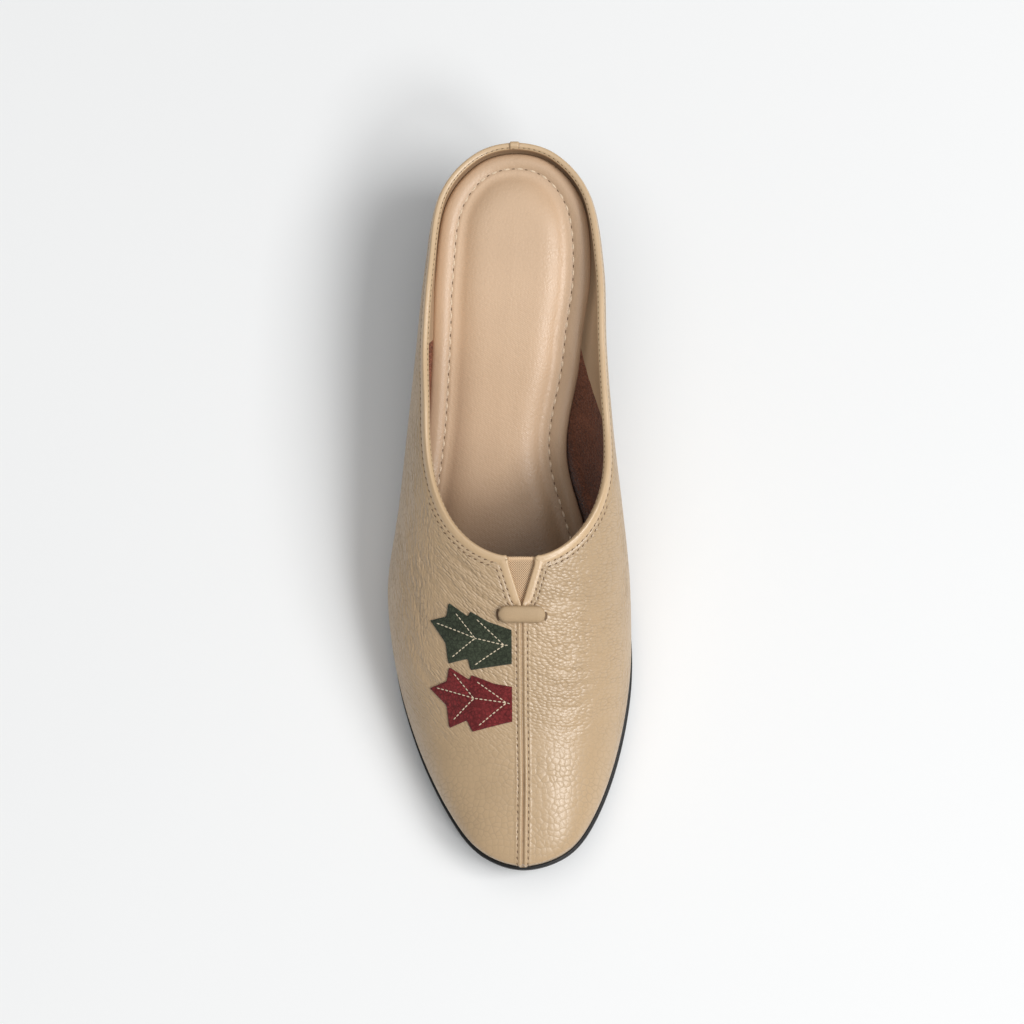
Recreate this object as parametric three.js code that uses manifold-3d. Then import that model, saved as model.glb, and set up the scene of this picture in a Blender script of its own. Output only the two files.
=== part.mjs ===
// A block heel mule for the right foot, as the pieces a shoemaker puts together: a hollow upper with a
// notched throat, an elastic gore in the notch, a loop over its foot, two sewn-on leaves, a padded
// insole, an outsole and a block heel.
// Millimetres, +Z up. The shoe stands on the floor at Z 0, its toe points along -Y, and +X is the inner
// side of the foot. "along" is the level distance from the back of the heel and "side" is X.
import * as THREE from "three";
import { mergeVertices } from "three/addons/utils/BufferGeometryUtils.js";
import Module from "manifold-3d";

const wasm = await Module();
wasm.setup();
const { clamp, lerp, smoothstep } = THREE.MathUtils;

// Sole and heel
const LENGTH = 241;
const SOLE_THICKNESS = 5.5;
const WAIST_THICKNESS = 4.2;
const TREAD_BACK = 150;
const SPRING_START = 188;
const TOE_SPRING = 8;
const SEAT_FRONT = 46;
const SEAT_HEIGHT = 40;
const SEAT_PITCH = 0.09;
const SOLE_EDGE_ROUND = 1.3;
const HEEL_BREAST = 57;
const HEEL_BREAST_HOLLOW = 2.5;
const HEEL_CENTRE = 30.5;
const HEEL_TAPER = 0.9;
const HEEL_EDGE_ROUND = 0.8;
const HEEL_INSET = 0.8;
const GAP = 0.3;

// Upper
const WALL = 2.2;
const UPPER_LIFT = 0.15;
const WELT_FOREFOOT = 1.6;
const WELT_HEEL = 0.3;
const WELT_START = 120;
const WELT_FULL = 165;
const FULLNESS = 2.1;
const THROAT_FRONT = 142.5;
const THROAT_DEPTH = 50;
const NOTCH_LENGTH = 15.5;
const NOTCH_WIDTH = 9.6;
const EDGE_ROLL = table(
  ["fromEdge", "raised"],
  [
    [0, 0.1],
    [1.0, 0.5],
    [2.2, 0.5],
    [2.9, 0],
  ],
);
const BACK_SEAM_HALF_WIDTH = 1.4;
const BACK_SEAM_RAISED = 0.6;
const WALL_ROWS = 8;
// Close stations that carry the raised seams at the toe and the back of the heel
const TOE_SEAM_STATIONS = [0.07, 0.15, 0.195];
const BACK_SEAM_STATIONS = [11.885, 11.92];

// Trim
const GORE_THICKNESS = 0.9;
const GORE_OVERLAP = 3.2;
const GORE_DROP = 0.5;
const LOOP_ALONG = 160.7;
const LOOP_LENGTH = 16.6;
const LOOP_WIDTH = 5.4;
const LOOP_THICKNESS = 2.5;
const LOOP_CLEARANCE = 0.5;
const LEAF_THICKNESS = 0.9;
const LEAF_SKIN_FRONT = 205;
const LEAF_SKIN_BACK = 150;
const LEAF_SKIN_DEPTH = 36;
// The leaves' outlines on the outer half of the vamp, seen from above, from the seam round the tip and back
const LEAF_GREEN = table(
  ["along", "side"],
  [
    [165.4, 1.6],
    [162.7, -6.1],
    [159.3, -12],
    [160.9, -12.7],
    [156.1, -19.3],
    [160.4, -19.3],
    [161.2, -25.3],
    [169, -19.4],
    [175.2, -19.6],
    [174, -12.5],
    [177.6, -12.5],
    [175.9, 1.6],
  ],
);
const LEAF_RED = table(
  ["along", "side"],
  [
    [183.1, 1.6],
    [182.1, -4.3],
    [179.1, -11.9],
    [180.7, -12.4],
    [176.2, -19.4],
    [180.6, -19.6],
    [182.4, -25.8],
    [188.4, -19.4],
    [195.5, -19.8],
    [193.3, -13.4],
    [197, -11.7],
    [194, 1.6],
  ],
);

// Height of the insole's cover above the sole, from its edge inwards: rim, sewn groove, cushion
const INSOLE_COVER = table(
  ["inwards", "height"],
  [
    [0, 2.4],
    [1.2, 3.7],
    [3.4, 3.8],
    [5.2, 3.0],
    [7.2, 3.8],
    [11, 4.7],
  ],
);
const INSOLE_CENTRE_HEIGHT = 5;
const INSOLE_CLEARANCE = 0.95;
// Extra padding under the heel, full behind the first distance along the shoe and gone at the second
const INSOLE_HEEL_PAD = 2.2;
const HEEL_PAD_FULL = 20;
const HEEL_PAD_END = 62;
// At the inner waist the insole's edge runs straighter than the sole's and keeps away from the wall
const INSOLE_WAIST_INSET = 4.9;
const WAIST_INSET_SPAN = { start: 70, full: 112, easing: 140, end: 172 };

// Sections of the last from the toe tip to the back of the heel. along: where the section meets the sole
// edge. ridge: where it meets the ridge line. edge: side of the sole edge. swell: how far the wall stands
// out past its foot. rise: height of that fullest point over the sole. collar: share of the half breadth,
// from the ridge out, that the foot opening takes.
const SECTIONS = table(
  ["along", "ridge", "edgeLateral", "edgeMedial", "swellLateral", "swellMedial",
    "riseLateral", "riseMedial", "collarLateral", "collarMedial"],
  [
    [241, 214, 4.7, 4.7, 0.2, 0.2, 6, 6, 0.8, 0.8],
    [235.8, 210, -10.2, 20.1, 0.2, 0.2, 6.2, 6.2, 0.8, 0.9],
    [222.4, 203, -21.1, 29.8, 0.3, 0.3, 6.8, 6.8, 0.8, 0.965],
    [200, 191, -31.9, 37.4, 0.4, 0.4, 7.5, 7.5, 0.8, 0.965],
    [174, 172, -39.3, 41.2, 0.7, 0.7, 9, 9.5, 0.8, 0.965],
    [148, 148, -40.6, 39.2, 2, 2.3, 12, 14, 0.8, 0.965],
    [122, 122, -35, 31, 3.2, 7.1, 12.5, 28, 0.795, 0.97],
    [96, 96, -30, 23, 4.8, 12, 11.8, 23.5, 0.815, 0.95],
    [70, 70, -27.4, 24.2, 4.3, 8.7, 8, 14, 0.905, 0.965],
    [44, 46, -26, 27.4, 2.9, 4.6, 6, 8.5, 0.935, 0.965],
    [20, 35, -22, 24.8, 2.8, 3.1, 6, 6.5, 0.962, 0.97],
    [6, 30, -11.8, 14.8, 2, 2.2, 5.5, 5.5, 0.978, 0.978],
    [1.8, 28.5, 1.5, 1.5, 1.8, 1.8, 5.5, 5.5, 0.98, 0.98],
  ],
);
const LAST_SECTION = SECTIONS.length - 1;

// Ridge line of the last: the centre seam of the vamp, then on over the opening to shape its sides
const RIDGE = table(
  ["along", "side", "height"],
  [
    [214, 5.2, 29.5],
    [203, 5.1, 33.5],
    [191, 5, 38],
    [172, 5, 46],
    [158, 5, 51.8],
    [142.5, 5, 58],
    [126, 5, 64],
    [108, 4.8, 68],
    [93, 4.4, 70],
    [70, 3.4, 71],
    [46, 2.4, 70],
    [28.5, 1.6, 69],
  ],
);

const LEATHER = new THREE.MeshStandardMaterial({ color: "#c3a27a", roughness: 0.5, metalness: 0 });
const ELASTIC = new THREE.MeshStandardMaterial({ color: "#c69d72", roughness: 0.9, metalness: 0 });
const SOCK = new THREE.MeshStandardMaterial({ color: "#c9a382", roughness: 0.55, metalness: 0 });
const GREEN_LEATHER = new THREE.MeshStandardMaterial({ color: "#2f4436", roughness: 0.7, metalness: 0 });
const RED_LEATHER = new THREE.MeshStandardMaterial({ color: "#7d2230", roughness: 0.7, metalness: 0 });
const RUBBER = new THREE.MeshStandardMaterial({ color: "#17181a", roughness: 0.6, metalness: 0 });

// Rows of values as objects with the named columns
function table(columns, rows) {
  return rows.map((row) => Object.fromEntries(columns.map((column, i) => [column, row[i]])));
}

// Smooth curve through a table's column against its "along" column, which falls from row to row
function curveThrough(rows, column) {
  const slope = (i) => {
    const before = rows[Math.max(0, i - 1)];
    const after = rows[Math.min(rows.length - 1, i + 1)];
    return (after[column] - before[column]) / (after.along - before.along);
  };
  return (along) => {
    const next = rows.findIndex((row) => row.along <= along);
    const i = clamp(next < 0 ? rows.length - 2 : next - 1, 0, rows.length - 2);
    const span = rows[i + 1].along - rows[i].along;
    const u = (along - rows[i].along) / span;
    const [a, b] = [rows[i][column], rows[i + 1][column]];
    const hermite = 3 * u * u - 2 * u ** 3;
    return a + (b - a) * hermite + span * u * (1 - u) * ((1 - u) * slope(i) - u * slope(i + 1));
  };
}
const ridgeSide = curveThrough(RIDGE, "side");
const ridgeHeight = curveThrough(RIDGE, "height");

// A section column at station t, which counts rows from the toe tip. The curve runs on round the toe and
// the heel into the other side's column, or straight on where no other column is given.
function sectionValue(t, column, mirror) {
  const i = clamp(Math.floor(t), 0, LAST_SECTION - 1);
  const u = t - i;
  const [b, c] = [SECTIONS[i][column], SECTIONS[i + 1][column]];
  const before = mirror ? SECTIONS[1][mirror] : 2 * b - c;
  const after = mirror ? SECTIONS[LAST_SECTION - 1][mirror] : 2 * c - b;
  const a = i > 0 ? SECTIONS[i - 1][column] : before;
  const d = i + 2 <= LAST_SECTION ? SECTIONS[i + 2][column] : after;
  const curl = (2 * a - 5 * b + 4 * c - d) * u * u + (3 * (b - c) + d - a) * u ** 3;
  return 0.5 * (2 * b + (c - a) * u + curl);
}

function otherSide(side) {
  return side === "Lateral" ? "Medial" : "Lateral";
}

function sideValue(name, side, t) {
  return sectionValue(t, name + side, name + otherSide(side));
}

// Station whose section meets the ridge line, or the sole edge, at the given distance along
function stationAt(column, along) {
  let [low, high] = [0, LAST_SECTION];
  for (let step = 0; step < 40; step++) {
    const middle = (low + high) / 2;
    if (sectionValue(middle, column) > along) low = middle;
    else high = middle;
  }
  return (low + high) / 2;
}

function stationAtRidge(along) {
  return stationAt("ridge", along);
}

// Upper face of the sole: heel seat, waist, flat tread and toe spring
function bed(along) {
  const spring = Math.max(0, along - SPRING_START) / (LENGTH - SPRING_START);
  const forefoot = SOLE_THICKNESS + TOE_SPRING * spring * spring;
  const seat = SEAT_HEIGHT + SEAT_PITCH * (SEAT_FRONT - along);
  return lerp(seat, forefoot, smoothstep(along, SEAT_FRONT, TREAD_BACK));
}

function soleUnderside(along) {
  return bed(along) - lerp(WAIST_THICKNESS, SOLE_THICKNESS, smoothstep(along, SEAT_FRONT, TREAD_BACK));
}

// Plan point of the sole edge, moved in by the given amount at right angles to the edge
function soleEdge(side, t, inset = 0) {
  const at = (u) => new THREE.Vector2(sideValue("edge", side, u), sectionValue(u, "along", "along"));
  const point = at(t);
  const step = 0.02;
  const tangent = at(Math.min(LAST_SECTION, t + step)).sub(at(Math.max(0, t - step)));
  if (t < step || t > LAST_SECTION - step) tangent.set(1, 0);
  const outward = new THREE.Vector2(tangent.y, -tangent.x).normalize();
  if (outward.dot(point.clone().sub(ridgePlan(t))) < 0) outward.negate();
  return point.addScaledVector(outward, -inset);
}

function ridgePlan(t) {
  const along = sectionValue(t, "ridge");
  return new THREE.Vector2(ridgeSide(along), along);
}

// Share of the half breadth that the foot opening takes at a section, with the V notch in front of it
function openingShare(side, t, breadth) {
  const behindThroat = THROAT_FRONT - sectionValue(t, "ridge");
  const notch = (NOTCH_WIDTH / 2) * clamp(1 + behindThroat / NOTCH_LENGTH, 0, 1);
  if (behindThroat <= 0) return notch / breadth;
  const round = Math.sqrt(1 - (1 - Math.min(1, behindThroat / THROAT_DEPTH)) ** 2);
  return Math.max(notch / breadth, round * sideValue("collar", side, t));
}

// Outer face of the upper along one section, from its foot on the sole up to the opening or the ridge.
// The foot flares out to the fullest point, and a rounded arch leads from there to the ridge line.
function wallProfile(side, t, whole = false) {
  const along = sectionValue(t, "along", "along");
  const welt = lerp(WELT_HEEL, WELT_FOREFOOT, smoothstep(along, WELT_START, WELT_FULL));
  const foot = soleEdge(side, t, welt);
  const ridge = ridgePlan(t);
  const inward = ridge.clone().sub(foot).normalize();
  const full = foot.clone().addScaledVector(inward, -sideValue("swell", side, t));
  const footHeight = bed(foot.y) + UPPER_LIFT;
  const fullHeight = footHeight + sideValue("rise", side, t);
  const breadth = full.distanceTo(ridge);
  const ridgeSlope = (ridgeHeight(ridge.y - 1) - ridgeHeight(ridge.y + 1)) / 2;
  const lean = -inward.y * ridgeSlope * breadth;
  const archRise = ridgeHeight(ridge.y) - fullHeight - lean;
  const share = whole ? 0 : openingShare(side, t, breadth);
  const turnEnd = Math.acos(clamp(share, 0, 1) ** (FULLNESS / 2));
  const points = [];
  const flareSteps = 6;
  const archSteps = 24;
  for (let i = 0; i < flareSteps; i++) {
    const u = i / flareSteps;
    const plan = foot.clone().lerp(full, 2 * u - u * u);
    points.push(new THREE.Vector3(plan.x, plan.y, lerp(footHeight, fullHeight, u)));
  }
  for (let i = 0; i <= archSteps; i++) {
    const turn = (turnEnd * i) / archSteps;
    const across = i === archSteps && share === 0 ? 1 : 1 - Math.cos(turn) ** (2 / FULLNESS);
    const plan = full.clone().lerp(ridge, across);
    const height = fullHeight + lean * across + archRise * Math.sin(turn) ** (2 / FULLNESS);
    points.push(new THREE.Vector3(plan.x, plan.y, height));
  }
  return points;
}

// Point at a distance back from the top end of a profile
function pointFromTop(points, distance) {
  let left = distance;
  for (let i = points.length - 1; i > 0; i--) {
    const step = points[i].distanceTo(points[i - 1]);
    if (left <= step || i === 1) return points[i].clone().lerp(points[i - 1], Math.min(1, left / step));
    left -= step;
  }
  return points[0].clone();
}

function profileLength(points) {
  return points.slice(1).reduce((sum, point, i) => sum + point.distanceTo(points[i]), 0);
}

// The shoe's own coordinates (side, along, height) to the model's X, Y, Z
function place(point) {
  return new THREE.Vector3(point.x, LENGTH / 2 - point.y, point.z);
}

// Indexed sheet through a grid of points, given as columns, with equal points joined
function sheetThrough(columns, closed = false) {
  const rows = columns[0].length;
  const geometry = new THREE.BufferGeometry();
  const flat = columns.flat().flatMap((point) => place(point).toArray());
  const index = [];
  const last = closed ? columns.length : columns.length - 1;
  for (let i = 0; i < last; i++) {
    for (let j = 0; j < rows - 1; j++) {
      const a = i * rows + j;
      const b = ((i + 1) % columns.length) * rows + j;
      index.push(a, b + 1, b, a, a + 1, b + 1);
    }
  }
  geometry.setAttribute("position", new THREE.Float32BufferAttribute(flat, 3));
  geometry.setIndex(index);
  return withoutSlivers(mergeVertices(geometry, 1e-3));
}

// Drops the triangles that joining equal points has closed up
function withoutSlivers(geometry) {
  const kept = [];
  for (const [a, b, c] of triangles(geometry)) {
    if (a !== b && b !== c && c !== a) kept.push(a, b, c);
  }
  return geometry.setIndex(kept);
}

function triangles(geometry) {
  const index = geometry.index.array;
  return Array.from({ length: index.length / 3 }, (_, i) => Array.from(index.slice(3 * i, 3 * i + 3)));
}

// Closed wall between two offsets of a sheet, each a number or a function of the point
function wallBetween(sheet, inner, outer) {
  sheet.computeVertexNormals();
  const position = sheet.getAttribute("position");
  const normal = sheet.getAttribute("normal");
  const count = position.count;
  const skin = (offset) => {
    const flat = [];
    for (let i = 0; i < count; i++) {
      const point = new THREE.Vector3().fromBufferAttribute(position, i);
      const amount = typeof offset === "function" ? offset(point) : offset;
      flat.push(...point.addScaledVector(new THREE.Vector3().fromBufferAttribute(normal, i), amount));
    }
    return flat;
  };
  const index = [];
  const edges = new Map();
  for (const [a, b, c] of triangles(sheet)) {
    index.push(a, b, c, a + count, c + count, b + count);
    for (const [from, to] of [[a, b], [b, c], [c, a]]) edges.set(`${from} ${to}`, [from, to]);
  }
  for (const [from, to] of edges.values()) {
    if (edges.has(`${to} ${from}`)) continue;
    index.push(from, from + count, to, to, from + count, to + count);
  }
  const geometry = new THREE.BufferGeometry();
  geometry.setAttribute("position", new THREE.Float32BufferAttribute([...skin(outer), ...skin(inner)], 3));
  return geometry.setIndex(index);
}

// Closed geometry to a solid for cutting, and back
function solidOf(geometry) {
  const bare = new THREE.BufferGeometry().setAttribute("position", geometry.getAttribute("position"));
  if (geometry.index) bare.setIndex(geometry.index);
  const merged = mergeVertices(bare, 1e-3);
  return new wasm.Manifold(
    new wasm.Mesh({
      numProp: 3,
      vertProperties: new Float32Array(merged.getAttribute("position").array),
      triVerts: new Uint32Array(merged.index.array),
    }),
  );
}

function geometryOf(solid) {
  const mesh = solid.getMesh();
  const geometry = new THREE.BufferGeometry();
  geometry.setAttribute("position", new THREE.Float32BufferAttribute(mesh.vertProperties, 3));
  return geometry.setIndex(Array.from(mesh.triVerts));
}

// Stations of the upper: even ones along the last, with close ones round the notch and throat
function upperStations() {
  const even = Array.from({ length: LAST_SECTION * 4 + 1 }, (_, i) => i / 4);
  const notchFoot = stationAtRidge(THROAT_FRONT + NOTCH_LENGTH);
  const throatEnd = stationAtRidge(THROAT_FRONT - THROAT_DEPTH);
  const notch = [1, 0.75, 0.5, 0.25, 0].map((share) => THROAT_FRONT + NOTCH_LENGTH * share);
  const throatSteps = 11;
  const throat = Array.from({ length: throatSteps }, (_, i) => {
    const turn = ((i + 1) / throatSteps) * (Math.PI / 2);
    return THROAT_FRONT - THROAT_DEPTH * (1 - Math.cos(turn));
  });
  const outside = even.filter((t) => t < notchFoot - 0.1 || t > throatEnd + 0.1);
  const seams = [...TOE_SEAM_STATIONS, ...BACK_SEAM_STATIONS];
  return [...outside, ...notch.map(stationAtRidge), ...throat.map(stationAtRidge), ...seams]
    .sort((a, b) => a - b);
}

// Both sides of the shoe as one run of columns, from the toe round the outer side, the heel and back
function roundTheShoe(stations, column) {
  const lateral = stations.map((t) => column("Lateral", t));
  const medial = stations.map((t) => column("Medial", t)).reverse();
  return [...lateral, ...medial];
}

// Distances from the rolled top edge to the rows of the upper's wall
function wallRows(points) {
  const length = profileLength(points);
  const rolled = EDGE_ROLL.map((row) => row.fromEdge);
  const rollEnd = rolled[rolled.length - 1];
  const plain = Array.from({ length: WALL_ROWS }, (_, i) => lerp(rollEnd, length, (i + 1) / WALL_ROWS));
  return [...rolled, ...plain].map((distance) => pointFromTop(points, distance)).reverse();
}

// How far the rolled leather stands up at a distance from its edge
function rolled(fromEdge) {
  const i = EDGE_ROLL.findIndex((row) => row.fromEdge > fromEdge);
  if (i < 0) return 0;
  const [low, high] = [EDGE_ROLL[i - 1], EDGE_ROLL[i]];
  return lerp(low.raised, high.raised, (fromEdge - low.fromEdge) / (high.fromEdge - low.fromEdge));
}

// Height of the upper's raised edges: the rolled collar, notch and centre seam, and the back seam
function upperRelief(stations) {
  const raised = new Map();
  const key = (point) => point.toArray().map((value) => value.toFixed(2)).join(" ");
  roundTheShoe(stations, (side, t) => {
    const rows = wallRows(wallProfile(side, t));
    const toeSeam = wallRows(wallProfile(side, 0));
    const backSeam = wallRows(wallProfile(side, LAST_SECTION));
    rows.forEach((point, i) => {
      const roll = EDGE_ROLL[rows.length - 1 - i];
      const onTopEdge = i === rows.length - 1;
      const toe = onTopEdge ? 0 : rolled(point.distanceTo(toeSeam[i]));
      const back = point.distanceTo(backSeam[i]) < BACK_SEAM_HALF_WIDTH ? BACK_SEAM_RAISED : 0;
      raised.set(key(place(point)), Math.max(roll ? roll.raised : 0, toe, back));
    });
  });
  return (point) => raised.get(key(point)) ?? 0;
}

function upperGeometry() {
  const stations = upperStations();
  const sheet = sheetThrough(roundTheShoe(stations, (side, t) => wallRows(wallProfile(side, t))));
  return wallBetween(sheet, -WALL, upperRelief(stations));
}

// Point of the closed vamp at a level distance to one side of the seam; side is signed, + to the inner side
function vampPoint(along, side) {
  const name = side < 0 ? "Lateral" : "Medial";
  const points = wallProfile(name, stationAtRidge(along), true);
  const top = points[points.length - 1];
  const reach = (point) => Math.hypot(point.x - top.x, point.y - top.y);
  const wanted = Math.abs(side);
  const i = Math.max(1, points.findIndex((point) => reach(point) <= wanted));
  const share = (wanted - reach(points[i])) / (reach(points[i - 1]) - reach(points[i]));
  return points[i].clone().lerp(points[i - 1], share);
}

// Elastic gore behind the notch, sewn to the inside of its edges
function goreGeometry() {
  const columns = [];
  const [alongSteps, sideSteps] = [6, 10];
  for (let i = 0; i <= sideSteps; i++) {
    const column = [];
    for (let j = 0; j <= alongSteps; j++) {
      const share = j / alongSteps;
      const halfWidth = (NOTCH_WIDTH / 2) * (1 - share) + GORE_OVERLAP;
      const along = THROAT_FRONT + GORE_DROP + NOTCH_LENGTH * share;
      column.push(vampPoint(along, lerp(-halfWidth, halfWidth, i / sideSteps)));
    }
    columns.push(column);
  }
  const top = -WALL - GAP;
  return wallBetween(sheetThrough(columns), top - GORE_THICKNESS, top);
}

// Leather loop lying over the foot of the notch, bowed with the vamp
function loopGeometry() {
  const geometry = new THREE.CapsuleGeometry(LOOP_WIDTH / 2, LOOP_LENGTH - LOOP_WIDTH, 4, 14);
  geometry.rotateZ(Math.PI / 2).scale(1, 1, LOOP_THICKNESS / LOOP_WIDTH);
  const seam = ridgeSide(LOOP_ALONG);
  const clear = EDGE_ROLL[1].raised + LOOP_CLEARANCE + LOOP_THICKNESS / 2;
  const position = geometry.getAttribute("position");
  for (let i = 0; i < position.count; i++) {
    const [x, y, z] = [position.getX(i), position.getY(i), position.getZ(i)];
    const ground = vampPoint(LOOP_ALONG - y, x);
    position.setXYZ(i, seam + x, LENGTH / 2 - LOOP_ALONG + y, ground.z + clear + z);
  }
  geometry.deleteAttribute("normal");
  geometry.deleteAttribute("uv");
  return withoutSlivers(mergeVertices(geometry, 1e-3));
}

// One leaf, cut from a skin over the outer half of the vamp by its outline seen from above
function leafGeometry(outline) {
  const columns = [];
  const [first, last] = [stationAtRidge(LEAF_SKIN_FRONT), stationAtRidge(LEAF_SKIN_BACK)];
  const [columnSteps, rowSteps] = [18, 15];
  for (let i = 0; i <= columnSteps; i++) {
    const points = wallProfile("Lateral", lerp(first, last, i / columnSteps), true);
    const column = [];
    for (let j = rowSteps; j >= 0; j--) column.push(pointFromTop(points, (LEAF_SKIN_DEPTH * j) / rowSteps));
    columns.push(column);
  }
  const skin = wallBetween(sheetThrough(columns), GAP, GAP + LEAF_THICKNESS);
  const corners = outline.map(({ along, side }) => new THREE.Vector2(side, LENGTH / 2 - along));
  const depth = Math.max(...RIDGE.map((row) => row.height));
  const cutter = new THREE.ExtrudeGeometry(new THREE.Shape(corners), { depth, bevelEnabled: false });
  return geometryOf(solidOf(skin).intersect(solidOf(cutter)));
}

// Even stations for the pieces that lie inside or under the upper
function evenStations(perSection) {
  return Array.from({ length: LAST_SECTION * perSection + 1 }, (_, i) => i / perSection);
}

// Plan point on the middle line of the sole where a section's ray ends
function middleLine(t) {
  const side = (sideValue("edge", "Lateral", t) + sideValue("edge", "Medial", t)) / 2;
  return new THREE.Vector2(side, sectionValue(t, "ridge"));
}

// Plan point of the upper's inner face at a height over the sole, kept clear of it
function insideWall(side, t, height) {
  const points = wallProfile(side, t, true);
  const level = points[0].z + height;
  const i = Math.max(1, points.findIndex((point) => point.z >= level));
  const [low, high] = [points[i - 1], points[i]];
  const share = (level - low.z) / (high.z - low.z);
  const flare = Math.hypot(high.x - low.x, high.y - low.y) / (high.z - low.z);
  const outer = new THREE.Vector2(lerp(low.x, high.x, share), lerp(low.y, high.y, share));
  const inward = ridgePlan(t).sub(outer).normalize();
  return outer.addScaledVector(inward, WALL * Math.hypot(1, flare) + INSOLE_CLEARANCE);
}

// Height that the heel padding adds to the insole
function heelPad(along) {
  return INSOLE_HEEL_PAD * (1 - smoothstep(along, HEEL_PAD_FULL, HEEL_PAD_END));
}

// How far the insole's edge keeps away from the upper's inner face beyond its clearance
function waistInset(side, along) {
  const { start, full, easing, end } = WAIST_INSET_SPAN;
  const atWaist = smoothstep(along, start, full) * (1 - smoothstep(along, easing, end));
  return side === "Medial" ? INSOLE_WAIST_INSET * atWaist : 0;
}

// Padded insole: its edge follows the upper's inner face, and its cover dips along the sewn line
function insoleGeometry() {
  const stations = evenStations(4);
  const columns = roundTheShoe(stations, (side, t) => {
    const middle = middleLine(t);
    const along = sectionValue(t, "along");
    const inset = waistInset(side, along);
    const rimHeight = INSOLE_COVER[0].height + heelPad(along);
    const edges = [0, rimHeight].map((height) => {
      const plan = insideWall(side, t, height);
      return plan.lerp(middle, inset / plan.distanceTo(middle));
    });
    const under = (plan) => new THREE.Vector3(plan.x, plan.y, bed(plan.y));
    const over = (plan, height) => under(plan).setZ(bed(plan.y) + heelPad(plan.y) + height);
    const reach = edges[1].distanceTo(middle);
    const cover = INSOLE_COVER.map((row) => {
      return over(edges[1].clone().lerp(middle, row.inwards / reach), row.height);
    });
    const underside = [under(middle), under(edges[0].clone().lerp(middle, 0.4)), under(edges[0])];
    return [...underside, ...cover, over(middle, INSOLE_CENTRE_HEIGHT)];
  });
  return sheetThrough(columns, true);
}

// Outsole: tread, waist and heel seat in one, with a rounded edge
function outsoleGeometry() {
  const columns = roundTheShoe(evenStations(4), (side, t) => {
    const middle = middleLine(t);
    const edge = soleEdge(side, t);
    const inner = soleEdge(side, t, SOLE_EDGE_ROUND);
    const under = (plan, up = 0) => new THREE.Vector3(plan.x, plan.y, soleUnderside(plan.y) + up);
    const over = (plan, down = 0) => new THREE.Vector3(plan.x, plan.y, bed(plan.y) - GAP - down);
    const between = (share) => inner.clone().lerp(middle, share);
    return [
      under(middle),
      under(between(0.6)),
      under(between(0.25)),
      under(inner),
      under(edge, SOLE_EDGE_ROUND),
      over(edge, SOLE_EDGE_ROUND / 2),
      over(soleEdge(side, t, SOLE_EDGE_ROUND / 3)),
      over(between(0.25)),
      over(between(0.6)),
      over(middle),
    ];
  });
  return sheetThrough(columns, true);
}

// Block heel under the seat: round behind, with a hollow breast, and tapering to the floor
function heelGeometry() {
  const centre = new THREE.Vector2(ridgeSide(SEAT_FRONT), HEEL_CENTRE);
  const front = stationAt("along", HEEL_BREAST);
  const sideSteps = 14;
  const stations = Array.from({ length: sideSteps + 1 }, (_, i) => lerp(front, LAST_SECTION, i / sideSteps));
  const sides = roundTheShoe(stations, (side, t) => soleEdge(side, t, HEEL_INSET));
  const [from, to] = [sides[sides.length - 1], sides[0]];
  const breastSteps = 8;
  const breast = Array.from({ length: breastSteps + 1 }, (_, i) => {
    const share = i / breastSteps;
    const hollow = HEEL_BREAST_HOLLOW * 4 * share * (1 - share);
    return new THREE.Vector2(lerp(from.x, to.x, share), HEEL_BREAST - hollow);
  });
  const columns = [...sides, ...breast].map((top) => {
    const scaled = (share) => centre.clone().lerp(top, share);
    const foot = scaled(HEEL_TAPER);
    const footInner = scaled(HEEL_TAPER - HEEL_EDGE_ROUND / top.distanceTo(centre));
    const roof = (plan) => new THREE.Vector3(plan.x, plan.y, soleUnderside(plan.y) - GAP);
    return [
      new THREE.Vector3(centre.x, centre.y, 0),
      new THREE.Vector3(footInner.x, footInner.y, 0),
      new THREE.Vector3(foot.x, foot.y, HEEL_EDGE_ROUND),
      roof(top),
      roof(scaled(0.66)),
      roof(scaled(0.33)),
      roof(centre),
    ];
  });
  return sheetThrough(columns, true);
}

function piece(name, geometry, material) {
  const mesh = new THREE.Mesh(geometry, material);
  mesh.name = name;
  return mesh;
}

const shoe = new THREE.Group();
shoe.add(
  piece("outsole", outsoleGeometry(), RUBBER),
  piece("heel_block", heelGeometry(), RUBBER),
  piece("insole", insoleGeometry(), SOCK),
  piece("upper", upperGeometry(), LEATHER),
  piece("elastic_gore", goreGeometry(), ELASTIC),
  piece("vamp_loop", loopGeometry(), LEATHER),
  piece("leaf_green", leafGeometry(LEAF_GREEN), GREEN_LEATHER),
  piece("leaf_red", leafGeometry(LEAF_RED), RED_LEATHER),
);

// The origin is under the middle of the shoe, on the floor
const middle = new THREE.Box3().setFromObject(shoe).getCenter(new THREE.Vector3());
shoe.position.set(-middle.x, -middle.y, 0);
const mule = new THREE.Group();
mule.add(shoe);

export default mule;
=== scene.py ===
"""Looks of a block heel mule: leather upper, lining, insole, elastic, loop, leaves, stitching and sole.

The tables hold the shoe's own sizes in millimetres as (side, along, height): along is the level distance
from the back of the heel, and side is towards the inner side of the foot. Meshes are in metres.
"""

import functools
import math
from types import SimpleNamespace

import bmesh
import bpy
import numpy as np
from bpy.props import FloatProperty, FloatVectorProperty, PointerProperty
from bpy.types import Operator, Panel, PropertyGroup
from mathutils import Matrix, Vector
from mathutils.bvhtree import BVHTree
from mathutils.kdtree import KDTree


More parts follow.
